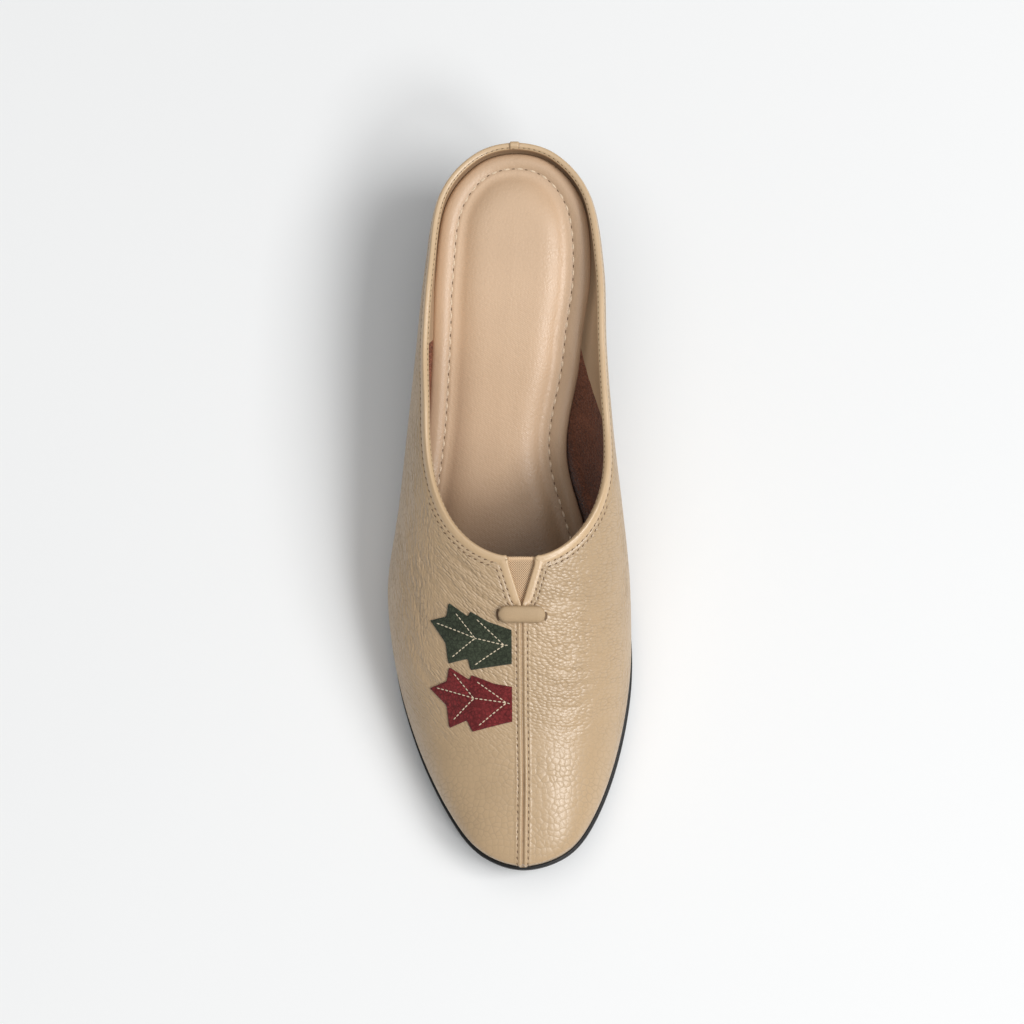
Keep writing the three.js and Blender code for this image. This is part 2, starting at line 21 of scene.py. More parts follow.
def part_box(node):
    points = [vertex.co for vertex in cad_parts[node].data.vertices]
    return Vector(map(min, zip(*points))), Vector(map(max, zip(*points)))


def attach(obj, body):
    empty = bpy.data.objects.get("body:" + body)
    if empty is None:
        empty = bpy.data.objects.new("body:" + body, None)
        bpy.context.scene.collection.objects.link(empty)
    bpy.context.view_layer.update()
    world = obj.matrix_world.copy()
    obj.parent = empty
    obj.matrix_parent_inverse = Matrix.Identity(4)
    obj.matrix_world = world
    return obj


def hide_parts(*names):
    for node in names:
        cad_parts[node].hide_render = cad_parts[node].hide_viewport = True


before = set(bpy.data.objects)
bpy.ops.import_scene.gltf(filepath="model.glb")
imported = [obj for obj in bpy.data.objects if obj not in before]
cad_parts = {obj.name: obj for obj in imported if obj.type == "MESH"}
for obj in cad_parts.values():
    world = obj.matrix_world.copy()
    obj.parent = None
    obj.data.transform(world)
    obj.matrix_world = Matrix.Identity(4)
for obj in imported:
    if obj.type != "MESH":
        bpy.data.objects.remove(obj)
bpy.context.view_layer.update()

bl_info = {
    "name": "Block heel mule",
    "version": (1, 0, 0),
    "blender": (4, 5, 0),
    "location": "3D View > Sidebar > Mule",
    "description": "Builds the visible pieces of a block heel mule around its packed solids",
    "category": "Object",
}

MM = 0.001

# Sole and heel
LENGTH = 241
SOLE_THICKNESS = 5.5
WAIST_THICKNESS = 4.2
TREAD_BACK = 150
SPRING_START = 188
TOE_SPRING = 8
SEAT_FRONT = 46
SEAT_HEIGHT = 40
SEAT_PITCH = 0.09
HEEL_BREAST = 57
HEEL_BREAST_HOLLOW = 2.5
HEEL_CENTRE = 30.5
HEEL_TAPER = 0.9
HEEL_INSET = 0.8
TOP_LIFT = 5
SOLE_TRIM = 0.45
SOLE_GAP = 0.3
SOLE_ROUND = 1.5
SOLE_COLUMNS = 32
SOLE_ROWS = 40
TREAD_PITCH = 5.2
TREAD_DEPTH = 0.7
TREAD_MARGIN = (4.5, 6)
TREAD_SETS_IN = (150, 154)
TREAD_ENDS = (214, 222)
HEEL_FOOT_ROUND = 0.9
HEEL_GROOVES = (0.86, 0.76)
HEEL_GROOVE_WIDTH = 0.025
HEEL_GROOVE_DEPTH = 0.5
# Edge of the sole from its tread up, as (inset, share of the height), with a groove below its top
SOLE_EDGE_SHAPE = (
    (0.8, 0.05), (0.35, 0.16), (0.08, 0.32), (0, 0.5), (0, 0.62), (0.28, 0.66), (0.28, 0.7),
    (0, 0.74), (0.02, 0.86), (0.15, 0.95), (0.5, 1.0), (1.2, 1.0),
)
# Side of the heel's top lift from the ground up, as (inset, height), with the groove that parts it
HEEL_LIFT_SHAPE = (
    (0.25, 0.25), (0.03, 0.65), (0, 1.2), (0, 2.5), (0, TOP_LIFT - 0.5), (0.3, TOP_LIFT - 0.2),
    (0.3, TOP_LIFT + 0.1), (0, TOP_LIFT + 0.4),
)

# Upper
WALL = 2.2
UPPER_LIFT = 0.15
WELT_FOREFOOT = 1.6
WELT_HEEL = 0.3
WELT_START = 120
WELT_FULL = 165
FULLNESS = 2.1
THROAT_FRONT = 143.6
THROAT_DEPTH = 51
NOTCH_LENGTH = 14.4
NOTCH_WIDTH = 9.6
RIM_WIDTH = 0.8
RIM_DEPTH = 2.2
NOTCH_RIM_DEPTH = 1.6
STRIP_FULL_TO = {"lateral": 64, "medial": 66}
STRIP_UP_AT = {"lateral": 74, "medial": 101}
STRIP_GONE_AT = {"lateral": 84, "medial": 113}
STRIP_FULL_SHARE = 0.97
STRIP_UP_SHARE = 0.27
STRIP_LEAST = 1.6
STRIP_UNEVEN = 0.35
STRIP_IN_TOE = 14
STRIP_TOE_ALONG = (174, 204)
SEWN_ROW = 2.1
SECOND_ROW = 3.5
SEAM_ROW = 1.8
BACK_SEAM_HALF_WIDTH = 1.6
NOTCH_PEAK = 0.8
TUCK = 6
TUCK_LIFT = 0.08
RIM_STITCH_TURN = 0.67 * math.pi

# Grain of the leather in metres: how deep it is, and where and how far its rows bow towards the toe
GRAIN_DEPTH = 0.3 * MM
BOW_CENTRE = 18 * MM
BOW = 14

SECTION_NAMES = (
    "along", "ridge", "edge_lateral", "edge_medial", "swell_lateral", "swell_medial",
    "rise_lateral", "rise_medial", "collar_lateral", "collar_medial",
)
# Sections of the last from the toe tip to the back of the heel: where each one meets the sole edge and the
# ridge line, the sole edge's sides, how far and how high the wall swells, and the opening's share of it
SECTIONS = np.array([
    (241, 214, 4.7, 4.7, 0.2, 0.2, 6, 6, 0.8, 0.8),
    (235.8, 210, -10.2, 20.1, 0.2, 0.2, 6.2, 6.2, 0.8, 0.9),
    (222.4, 203, -21.1, 29.8, 0.3, 0.3, 6.8, 6.8, 0.8, 0.965),
    (200, 191, -31.9, 37.4, 0.4, 0.4, 7.5, 7.5, 0.8, 0.965),
    (174, 172, -39.3, 41.2, 0.7, 0.7, 9, 9.5, 0.8, 0.965),
    (148, 148, -40.6, 39.2, 2, 2.3, 12, 14, 0.8, 0.965),
    (122, 122, -35, 31, 3.2, 7.1, 12.5, 28, 0.795, 0.97),
    (96, 96, -30, 23, 4.8, 12, 11.8, 23.5, 0.815, 0.95),
    (70, 70, -27.4, 24.2, 4.3, 8.7, 8, 14, 0.905, 0.965),
    (44, 46, -26, 27.4, 2.9, 4.6, 6, 8.5, 0.935, 0.965),
    (20, 35, -22, 24.8, 2.8, 3.1, 6, 6.5, 0.962, 0.97),
    (6, 30, -11.8, 14.8, 2, 2.2, 5.5, 5.5, 0.978, 0.978),
    (1.8, 28.5, 1.5, 1.5, 1.8, 1.8, 5.5, 5.5, 0.98, 0.98),
])
COLUMN = dict(zip(SECTION_NAMES, SECTIONS.T))
LAST_STATION = len(SECTIONS) - 1
OTHER_SIDE = {"lateral": "medial", "medial": "lateral"}

# Ridge line of the last (along, side, height), from the heel to the toe
RIDGE = np.array([
    (28.5, 1.6, 69), (46, 2.4, 70), (70, 3.4, 71), (93, 4.4, 70), (108, 4.8, 68), (126, 5, 64),
    (142.5, 5, 58), (158, 5, 51.8), (172, 5, 46), (191, 5, 38), (203, 5.1, 33.5), (214, 5.2, 29.5),
])

# Height of the insole's cover above the sole, from its edge inwards; the sewn valley is at INSOLE_VALLEY
INSOLE_COVER = np.array([
    (0, 2.3), (0.5, 3.0), (1.4, 3.55), (3.2, 3.85), (5, 3.4), (5.9, 2.9), (6.7, 3.05), (8, 3.0),
    (9.4, 3.3), (11.4, 4.25), (13.4, 4.95), (15.4, 5.35), (17.5, 5.55),
])
INSOLE_VALLEY = 5.9
INSOLE_CENTRE_HEIGHT = 5.75
INSOLE_CLEARANCE = 0.5
INSOLE_LEAN = 0.03
INSOLE_FOOT = 0.2
INSOLE_LIFT = 0.15
INSOLE_BACK_SHARE = 0.88
INSOLE_WAIST_INSET = {"lateral": 0, "medial": 4.9}
INSOLE_WAIST_BACK = (70, 112)
INSOLE_WAIST_FRONT = (140, 172)
INSOLE_HEEL_PAD = 2.2
HEEL_PAD_FULL = 20
HEEL_PAD_END = 62
INSOLE_MARGIN_SHADE = 0.45
INSOLE_COLUMNS = 14
TWILL = 1.05 * MM

# Elastic, loop and leaves
GORE_THICKNESS = 0.9
GORE_OVERLAP = 3
GORE_BACK = 0.6
GORE_FRONT = 0.5
GORE_CLEARANCE = 0.25
GORE_STEPS = 61
HEM_AT = 0.5
HEM_WIDTH = 0.7
HEM_RISE = 0.3
WEAVE_PITCH = 0.73
LOOP_ALONG = 160.7
LOOP_LENGTH = 15.4
LOOP_WIDTH = 5.3
LOOP_CORNER = 2.5
LOOP_THICKNESS = 2.4
LOOP_LIFT = 0.75
LOOP_UNDER_SHARE = 0.35
LOOP_END_SHARE = 0.6
LOOP_SLOPE_SHARE = 0.8
LOOP_SQUARENESS = 0.75
LOOP_COLUMNS = 61
LOOP_ROWS = 65
SLIT = (4.4 * MM, 1.3 * MM, 0.5 * MM)
SLIT_BEYOND = 0.1
LEAF_THICKNESS = 0.75
LEAF_LEAST = 0.2
LEAF_LIFT = 0.05
LEAF_ROUND = 0.7
LEAF_EDGE_SHARE = 0.35
LEAF_COLUMNS = 136
LEAF_ROWS = 45
VEIN_SINK = 0.26
VEIN_WIDTH = 0.45

# Stitching: a stitch's and a needle slot's width and height as shares of the thread, how the rows slant and
# sink, and where along the shoe they end
STITCH_SHAPE = (0.8, 0.6)
SLOT_SHAPE = (0.95, 0.5)
SLOT_CLEAR = 0.75
SLOT_SINK = 0.1
EDGE_SLANT = 0.3
EDGE_SINK = 0.05 * MM
SECOND_ROW_END = 122
SEAM_SLANTS = {-1: 0.4, 1: 0.15}
SEAM_SINK = 0.06 * MM
SEAM_ROW_END = 1.2
RIM_STITCH_SHARES = (0.8, 0.7, 0.7)
RIM_SLOT_SHARE = 0.7
RIM_PITCH_SHARE = 0.8
RIM_ROW_END = 138
INSOLE_THREAD_SHARE = 1.35
INSOLE_SLOT = 1.3 * MM
INSOLE_ROW_END = 205
VEIN_STITCH = 1.2 * MM
VEIN_PITCH = 1.55

# Soft lights by name, with place, aim and size in metres and power in watts
LIGHTS = {
    "key_softbox": ((1.85, -0.3, 2.6), (0, 0, 0.02), 1.4, 54),
    "top_softbox": ((-0.1, 0.1, 3), (0, 0, 0.02), 3, 31),
    "toe_softbox": ((1.47, -1.63, 2.34), (0, -0.07, 0.02), 0.8, 26),
}
WORLD_LIGHT = 0.18
FLOOR_RADIUS = 6
CAMERA_AIM = (0.0005, -0.001, 0.025)
CAMERA_ELEVATION = math.radians(79)
CAMERA_DISTANCE = 1.3
CAMERA_BESIDE = 0.0514
CAMERA_LENS = 135.95

# Each leaf by its back and front outlines and its sewn veins, as (side, along) seen from above
LEAVES = {
    "leaf_green": {
        "back": ((1.6, 165.4), (-6.1, 162.7), (-12, 159.3), (-12.7, 160.9), (-19.3, 156.1), (-19.7, 160.4),
                 (-25.3, 161.2)),
        "front": ((1.6, 175.9), (-12.2, 177.6), (-12.7, 174), (-19.6, 175.2), (-20, 169), (-25.3, 161.2)),
        "veins": (
            ((-23.5, 162.3), (-10.5, 167.8), (-0.9, 170.2), (1.3, 170.3)),
            ((-10.5, 167.8), (-17.4, 159.1)),
            ((-10.5, 167.8), (-18.3, 173.4)),
            ((-0.9, 170.2), (-10, 161.9)),
            ((-0.9, 170.2), (-10.7, 176.2)),
        ),
    },
    "leaf_red": {
        "back": ((1.6, 183.1), (-4.3, 182.1), (-11.9, 179.1), (-12.4, 180.7), (-19.4, 176.2), (-19.8, 180.6),
                 (-25.8, 182.4)),
        "front": ((1.6, 194), (-11.7, 197), (-13.4, 193.3), (-19.5, 195.5), (-20, 188.4), (-25.8, 182.4)),
        "veins": (
            ((-23.7, 182.6), (-11.1, 186.6), (-0.3, 188.2), (1.1, 188.5)),
            ((-11.1, 186.6), (-18.3, 177.9)),
            ((-11.1, 186.6), (-18.6, 193.5)),
            ((-0.3, 188.2), (-10.1, 181.4)),
            ((-0.3, 188.2), (-10.2, 195.7)),
        ),
    },
}

# Creases of the vamp: start and end as (side, along), how far the middle bows towards the toe, depth and
# width. Depth below zero is a ridge.
CREASES = (
    ((10, 150), (32, 145), 3, 0.2, 0.9),
    ((12, 154), (35, 149), 3.5, 0.26, 0.9),
    ((9, 159), (24, 157), 3, 0.24, 0.8),
    ((20, 161), (37, 154), 3, 0.28, 0.9),
    ((15, 165), (36, 159), 4, 0.28, 0.9),
    ((9, 168), (27, 167), 3, 0.24, 0.8),
    ((20, 171), (37, 165), 3.5, 0.26, 0.9),
    ((10, 175), (33, 173), 4, 0.24, 0.9),
    ((12, 181), (34, 177), 3.5, 0.22, 0.9),
    ((10, 188), (29, 185), 3.5, 0.18, 1.0),
    ((13, 195), (27, 192), 3, 0.14, 1.1),
    ((-2, 158), (-14, 149), 1.5, 0.3, 0.8),
    ((-4, 161), (-13, 156), 1, 0.26, 0.7),
    ((-1, 154), (-16, 143), 2, 0.28, 0.8),
    ((-6, 149), (-23, 137), 2, 0.24, 0.9),
    ((-9, 153), (-20, 145), 1, 0.24, 0.7),
    ((-12, 157), (-24, 148), 1, 0.22, 0.8),
    ((-17, 152), (-27, 142), 0.5, 0.22, 0.8),
    ((-22, 155), (-29, 140), -0.5, 0.26, 0.8),
    ((-27, 166), (-33, 148), -1, 0.26, 0.9),
    ((-26, 152), (-32, 132), -1, 0.24, 0.8),
    ((-28, 178), (-35, 160), -1, 0.22, 1.0),
    ((-30, 150), (-35, 122), -1, 0.26, 0.8),
    ((-33, 158), (-37, 134), -1, 0.22, 0.8),
    ((-34, 146), (-37, 120), -1, 0.24, 0.8),
    ((-31, 136), (-34, 108), -1, 0.22, 0.8),
    ((-22, 184), (-31, 172), 1, 0.2, 0.9),
    ((-14, 201), (-26, 194), 2, 0.2, 1.0),
    ((-4, 203), (-17, 207), 2, 0.16, 1.1),
)


class MuleSizes(PropertyGroup):
    """Sizes of the sewn and woven detail that a user may change."""

    stitch: FloatProperty(
        name="Stitch", description="Length of a stitch on the leather", default=1.3 * MM, min=0.5 * MM,
        max=5 * MM, unit="LENGTH",
    )
    stitch_pitch: FloatProperty(
        name="Stitch pitch", description="Distance between stitches on the leather", default=2.25 * MM,
        min=MM, max=8 * MM, unit="LENGTH",
    )
    insole_stitch: FloatProperty(
        name="Insole stitch", description="Length of a stitch on the insole", default=2.1 * MM, min=MM,
        max=6 * MM, unit="LENGTH",
    )
    insole_pitch: FloatProperty(
        name="Insole pitch", description="Distance between stitches on the insole", default=4.4 * MM,
        min=MM, max=9 * MM, unit="LENGTH",
    )
    thread: FloatProperty(
        name="Thread", description="Thickness of the sewing thread", default=0.55 * MM, min=0.2 * MM,
        max=2 * MM, unit="LENGTH",
    )
    pebble: FloatProperty(
        name="Pebble", description="Width of a pebble in the leather's grain", default=2.1 * MM,
        min=0.4 * MM, max=6 * MM, unit="LENGTH",
    )


def colour_property(name, description, default):
    """A colour that a user may change, as red, green and blue in linear light."""
    return FloatVectorProperty(
        name=name, description=description, default=default, min=0, max=1, subtype="COLOR",
    )


class MuleColours(PropertyGroup):
    """Colours of the shoe's finishes."""

    leather: colour_property("Leather", "Pebbled leather of the upper", (0.5, 0.352, 0.207))
    strip: colour_property("Collar strip", "Smooth leather inside the collar", (0.64, 0.465, 0.3))
    lining: colour_property("Lining", "Suede lining below the collar strip", (0.24, 0.093, 0.052))
    insole: colour_property("Insole", "Smooth leather of the insole's cover", (0.635, 0.442, 0.288))
    # Painted shade under the vamp: the insole's cover darkens to this colour towards the toe
    insole_front_shade: colour_property("Insole front", "Insole's cover under the vamp", (0.3, 0.19, 0.115))
    elastic: colour_property("Elastic", "Elastic in the notch", (0.78, 0.545, 0.34))
    leaf_green: colour_property("Green leaf", "Suede of the green leaf", (0.042, 0.051, 0.032))
    leaf_red: colour_property("Red leaf", "Suede of the red leaf", (0.165, 0.022, 0.023))
    thread: colour_property("Thread", "Thread in the upper's seams", (0.54, 0.41, 0.27))
    vein_thread: colour_property("Vein thread", "Thread of the leaves' veins", (0.74, 0.63, 0.46))
    insole_thread: colour_property("Insole thread", "Thread round the insole", (0.78, 0.62, 0.45))
    # Dark colour of the slots that stand in for the shade in the needle holes and the slit's ends, also used
    # for the painted shade in the leather's sewn grooves
    needle_hole: colour_property("Needle hole", "Needle holes between the stitches", (0.19, 0.12, 0.07))
    rubber: colour_property("Rubber", "Rubber of the sole", (0.009, 0.009, 0.0095))
    floor: colour_property("Floor", "Pale floor", (0.89, 0.898, 0.9))


# Number helpers


def lerp(low, high, share):
    return low + (high - low) * share


def smoothstep(value, low, high):
    share = np.clip((value - low) / (high - low), 0, 1)
    return share * share * (3 - 2 * share)


def hump(distance, width):
    return np.exp(-((distance / width) ** 2))


def unit(vectors):
    return vectors / np.maximum(np.linalg.norm(vectors, axis=-1, keepdims=True), 1e-12)


def curve_through(table, column, at):
    """Smooth curve through a column of a table against its first column, which rises from row to row."""
    known = table[:, 0]
    values = table[:, column]
    rise = np.diff(values) / np.diff(known)
    inner = (values[2:] - values[:-2]) / (known[2:] - known[:-2])
    slope = np.concatenate([rise[:1], inner, rise[-1:]])
    i = np.clip(np.searchsorted(known, at) - 1, 0, len(known) - 2)
    span = known[i + 1] - known[i]
    u = (at - known[i]) / span
    blend = 3 * u**2 - 2 * u**3
    pull = span * u * (1 - u) * ((1 - u) * slope[i] - u * slope[i + 1])
    return values[i] + (values[i + 1] - values[i]) * blend + pull


# The last


def section(name, stations, mirror=None):
    """A column of the sections at stations counted from the toe tip. The curve runs on round the toe and
    the heel into the mirror column, or straight on where none is given."""
    values = COLUMN[name]
    before = COLUMN[mirror][1] if mirror else 2 * values[0] - values[1]
    after = COLUMN[mirror][-2] if mirror else 2 * values[-1] - values[-2]
    run = np.concatenate([[before], values, [after]])
    i = np.clip(np.floor(stations).astype(int), 0, LAST_STATION - 1)
    u = stations - i
    a, b, c, d = run[i], run[i + 1], run[i + 2], run[i + 3]
    curl = (2 * a - 5 * b + 4 * c - d) * u**2 + (3 * (b - c) + d - a) * u**3
    return 0.5 * (2 * b + (c - a) * u + curl)


def side_section(name, side, stations):
    return section(f"{name}_{side}", stations, f"{name}_{OTHER_SIDE[side]}")


def ridge_side(along):
    return curve_through(RIDGE, 1, along)


def ridge_height(along):
    return curve_through(RIDGE, 2, along)


def ridge_plan(stations):
    along = section("ridge", stations)
    return np.stack([ridge_side(along), along], axis=-1)


def station_at(name, along):
    """Station whose section has the given value in a column that falls from toe to heel."""
    stations = np.linspace(0, LAST_STATION, 4801)
    return np.interp(along, section(name, stations)[::-1], stations[::-1])


def bed(along):
    """Height of the sole's upper face: heel seat, waist, flat tread and toe spring."""
    spring = np.maximum(0, along - SPRING_START) / (LENGTH - SPRING_START)
    seat = SEAT_HEIGHT + SEAT_PITCH * (SEAT_FRONT - along)
    return lerp(seat, SOLE_THICKNESS + TOE_SPRING * spring**2, smoothstep(along, SEAT_FRONT, TREAD_BACK))


def underside(along):
    """Height of the sole's lower face."""
    return bed(along) - lerp(WAIST_THICKNESS, SOLE_THICKNESS, smoothstep(along, SEAT_FRONT, TREAD_BACK))


def sole_edge(side, stations, inset=0.0):
    """Plan points of the sole edge, moved in at right angles to it."""

    def edge_at(at):
        return np.stack([side_section("edge", side, at), section("along", at, "along")], axis=-1)

    step = 0.02
    points = edge_at(stations)
    tangent = edge_at(np.minimum(stations + step, LAST_STATION)) - edge_at(np.maximum(stations - step, 0))
    tangent[(stations < step) | (stations > LAST_STATION - step)] = (1, 0)
    outward = unit(np.stack([tangent[:, 1], -tangent[:, 0]], axis=-1))
    outward[np.sum(outward * (points - ridge_plan(stations)), axis=-1) < 0] *= -1
    return points - outward * np.reshape(inset, (-1, 1))


def middle_line(stations):
    """Plan points on the middle line of the sole where the sections' rays end."""
    side = (side_section("edge", "lateral", stations) + side_section("edge", "medial", stations)) / 2
    return np.stack([side, section("ridge", stations)], axis=-1)


FLARE_STEPS = 24
ARCH_STEPS = 220
RISING_STEPS = 60


def wall_profiles(side, stations):
    """Outer face of the upper as profiles [station, point, 3] from its foot to the ridge line, and the
    breadth of each arch. The foot flares out to the fullest point, and an arch leads to the ridge."""
    along = section("along", stations, "along")
    welt = lerp(WELT_HEEL, WELT_FOREFOOT, smoothstep(along, WELT_START, WELT_FULL))
    foot = sole_edge(side, stations, welt)
    ridge = ridge_plan(stations)
    inward = unit(ridge - foot)
    full = foot - inward * side_section("swell", side, stations)[:, None]
    foot_height = (bed(foot[:, 1]) + UPPER_LIFT)[:, None]
    full_height = foot_height + side_section("rise", side, stations)[:, None]
    breadth = np.linalg.norm(full - ridge, axis=1)
    slope = (ridge_height(ridge[:, 1] - 1) - ridge_height(ridge[:, 1] + 1)) / 2
    lean = (-inward[:, 1] * slope * breadth)[:, None]
    arch_rise = ridge_height(ridge[:, 1])[:, None] - full_height - lean
    flare = np.linspace(0, 1, FLARE_STEPS, endpoint=False)
    turn = np.linspace(0, math.pi / 2, ARCH_STEPS + 1)
    across = 1 - np.cos(turn) ** (2 / FULLNESS)
    low_plan = foot[:, None] + (full - foot)[:, None] * (2 * flare - flare**2)[:, None]
    high_plan = full[:, None] + (ridge - full)[:, None] * across[:, None]
    low_height = lerp(foot_height, full_height, flare)
    high_height = full_height + lean * across + arch_rise * np.sin(turn) ** (2 / FULLNESS)
    plan = np.concatenate([low_plan, high_plan], axis=1)
    height = np.concatenate([low_height, high_height], axis=1)
    return np.concatenate([plan, height[..., None]], axis=-1), breadth


def opening_share(side, stations, breadth):
    """Share of the half breadth that the foot opening takes, with the notch in front of it."""
    behind_throat = THROAT_FRONT - section("ridge", stations)
    notch = NOTCH_WIDTH / 2 * np.clip(1 + behind_throat / NOTCH_LENGTH, 0, 1)
    rounded = np.sqrt(1 - (1 - np.clip(behind_throat / THROAT_DEPTH, 0, 1)) ** 2)
    return np.clip(np.maximum(notch / breadth, rounded * side_section("collar", side, stations)), 0, 1)


def upper_stations():
    """Stations of the upper's columns, close together at the seams, the notch and the throat."""
    notch_foot = station_at("ridge", THROAT_FRONT + NOTCH_LENGTH)
    throat = station_at("ridge", THROAT_FRONT)
    turn = np.linspace(0, math.pi / 2, 65)[1:]
    throat_curve = station_at("ridge", THROAT_FRONT - THROAT_DEPTH * (1 - np.cos(turn)))
    return np.concatenate([
        np.linspace(0, 0.3, 14, endpoint=False),
        np.linspace(0.3, 1, 12, endpoint=False),
        np.linspace(1, 2, 15, endpoint=False),
        np.linspace(2, 3, 22, endpoint=False),
        np.linspace(3, notch_foot, 66, endpoint=False),
        np.linspace(notch_foot, throat, 31),
        throat_curve,
        np.linspace(throat_curve[-1], 11.7, 72)[1:],
        np.linspace(11.7, LAST_STATION, 19)[1:],
    ])


def round_the_shoe(lateral, medial):
    """Both sides' columns as one ring, from the toe round the outer side and the heel and back."""
    return np.concatenate([lateral, medial[-2:0:-1]])


@functools.cache
def upper_wall():
    """The last's outer face under the upper: profiles with normals, and where each meets the opening."""
    stations = upper_stations()
    profiles = {}
    shares = {}
    breadths = {}
    for side in OTHER_SIDE:
        profiles[side], breadths[side] = wall_profiles(side, stations)
        shares[side] = opening_share(side, stations, breadths[side])
    points = round_the_shoe(profiles["lateral"], profiles["medial"])
    share = round_the_shoe(shares["lateral"], shares["medial"])
    half_gap = share * round_the_shoe(breadths["lateral"], breadths["medial"])
    across = np.roll(points, -1, axis=0) - np.roll(points, 1, axis=0)
    normals = unit(np.cross(across, np.gradient(points, axis=1)))
    mirror = -np.arange(len(points))
    normals[:, -1] = unit(normals[:, -2] + normals[mirror, -2])
    steps = np.linalg.norm(np.diff(points, axis=1), axis=-1)
    arcs = np.concatenate([np.zeros((len(points), 1)), np.cumsum(steps, axis=1)], axis=1)
    turn_end = np.arccos(share ** (FULLNESS / 2))
    place = FLARE_STEPS + turn_end / (math.pi / 2) * ARCH_STEPS
    reach = np.array([np.interp(at, np.arange(len(arc)), arc) for at, arc in zip(place, arcs)])
    rim = np.minimum(RIM_WIDTH, 0.8 * half_gap)
    return SimpleNamespace(
        points=points, normals=normals, arcs=arcs, lengths=reach - rim, rim=rim, is_open=half_gap > 1e-6,
        heel=len(stations) - 1,
    )


def on_wall(wall, from_foot):
    """Points and normals of the wall at distances up each profile from its foot."""
    points = np.empty((*from_foot.shape, 3))
    normals = np.empty_like(points)
    for i, distances in enumerate(from_foot):
        for axis in range(3):
            points[i, :, axis] = np.interp(distances, wall.arcs[i], wall.points[i, :, axis])
            normals[i, :, axis] = np.interp(distances, wall.arcs[i], wall.normals[i, :, axis])
    return points, unit(normals)


@functools.cache
def opening_edge():
    """The upper's top edge round the notch and opening: places, normals, run and way out of the leather."""
    wall = upper_wall()
    at = np.flatnonzero(wall.is_open)
    top, normals = on_wall(wall, np.stack([wall.lengths - 1, wall.lengths], axis=1))
    edge = top[at, 1]
    run = unit(np.gradient(edge, axis=0))
    outward = unit(np.cross(normals[at, 1], run))
    outward[np.sum(outward * (edge - top[at, 0]), axis=-1) < 0] *= -1
    return SimpleNamespace(at=at, points=edge, normals=normals[at, 1], run=run, outward=outward)


@functools.cache
def seam_line():
    """The vamp's centre seam, from the foot of the notch over the ridge and down the toe."""
    along = np.linspace(THROAT_FRONT + NOTCH_LENGTH, section("ridge", np.zeros(1))[0], 120)
    ridge = np.stack([ridge_side(along), along, ridge_height(along)], axis=-1)
    toe = upper_wall().points[0, ::-1]
    return np.concatenate([ridge, toe[1::4]])


LINE_SPACING = 0.2


def distance_to(line, points, spacing=0.25):
    """Distance of each point to a line of points, which is refined first."""
    line = spread(line, spacing)
    tree = KDTree(len(line))
    for i, point in enumerate(line):
        tree.insert(point, i)
    tree.balance()
    flat = [tree.find(point)[2] for point in points.reshape(-1, 3)]
    return np.array(flat).reshape(points.shape[:-1])


def spread(line, spacing):
    """Points at even distances along a line of points."""
    line = np.asarray(line, dtype=float)
    steps = np.linalg.norm(np.diff(line, axis=0), axis=-1)
    run = np.concatenate([[0], np.cumsum(steps)])
    count = max(2, round(run[-1] / spacing) + 1)
    at = np.linspace(0, run[-1], count)
    return np.stack([np.interp(at, run, line[:, axis]) for axis in range(line.shape[1])], axis=-1)


# Meshes


@functools.cache
def frame_shift():
    """How far the shoe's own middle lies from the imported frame's origin, in millimetres (side, along)."""
    low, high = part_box("outsole")
    widest = side_section("edge", "medial", np.arange(0, LAST_STATION + 0.1, 0.25)).max()
    return widest - high.x / MM, low.y / MM + LENGTH / 2


def to_frame(points):
    """The shoe's own points (side, along, height) in millimetres to the frame's metres."""
    shift_side, shift_along = frame_shift()
    points = np.asarray(points, dtype=float)
    x = points[..., 0] - shift_side
    y = LENGTH / 2 - points[..., 1] + shift_along
    return np.stack([x, y, points[..., 2]], axis=-1) * MM


def to_shoe(point):
    """A point of the frame in metres to the shoe's own (side, along, height) in millimetres."""
    shift_side, shift_along = frame_shift()
    return np.array([
        point[0] / MM + shift_side, LENGTH / 2 + shift_along - point[1] / MM, point[2] / MM,
    ])


JOIN_DISTANCE = 0.002 * MM


def grid_through(points, values=None, material_of=None, left_out=None):
    """A bmesh grid laid through points [column, row, 3] given in the shoe's own millimetres, with equal
    points joined. values are float attributes [column, row], and left_out tells which faces to drop."""
    columns, rows = points.shape[:2]
    placed = to_frame(points)
    bm = bmesh.new()
    bmesh.ops.create_grid(bm, x_segments=columns - 1, y_segments=rows - 1, size=1)
    half = np.array([(columns - 1) / 2, (rows - 1) / 2])
    dropped = []
    for face in bm.faces:
        centre = face.calc_center_median()
        column = int((centre.x + 1) * half[0])
        row = int((centre.y + 1) * half[1])
        if material_of is not None:
            face.material_index = int(material_of[column, row])
        if left_out is not None and left_out[column, row]:
            dropped.append(face)
    layers = {name: bm.verts.layers.float.new(name) for name in values or {}}
    for vert in bm.verts:
        column = round((vert.co.x + 1) * half[0])
        row = round((vert.co.y + 1) * half[1])
        vert.co = placed[column, row]
        for name, layer in layers.items():
            vert[layer] = values[name][column, row]
    if dropped:
        bmesh.ops.delete(bm, geom=dropped, context="FACES")
    bmesh.ops.remove_doubles(bm, verts=bm.verts, dist=JOIN_DISTANCE)
    bmesh.ops.dissolve_degenerate(bm, dist=JOIN_DISTANCE, edges=bm.edges)
    bmesh.ops.recalc_face_normals(bm, faces=bm.faces)
    return bm


def make_piece(name, bm, materials, replaced=None):
    """Turns a bmesh into a smooth piece that rides on the shoe's one body."""
    for face in bm.faces:
        face.smooth = True
    mesh = bpy.data.meshes.new(name)
    bm.to_mesh(mesh)
    bm.free()
    for material in materials:
        mesh.materials.append(material)
    piece = bpy.data.objects.new(name, mesh)
    bpy.context.scene.collection.objects.link(piece)
    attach(piece, "root")
    if replaced:
        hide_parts(replaced)
    return piece


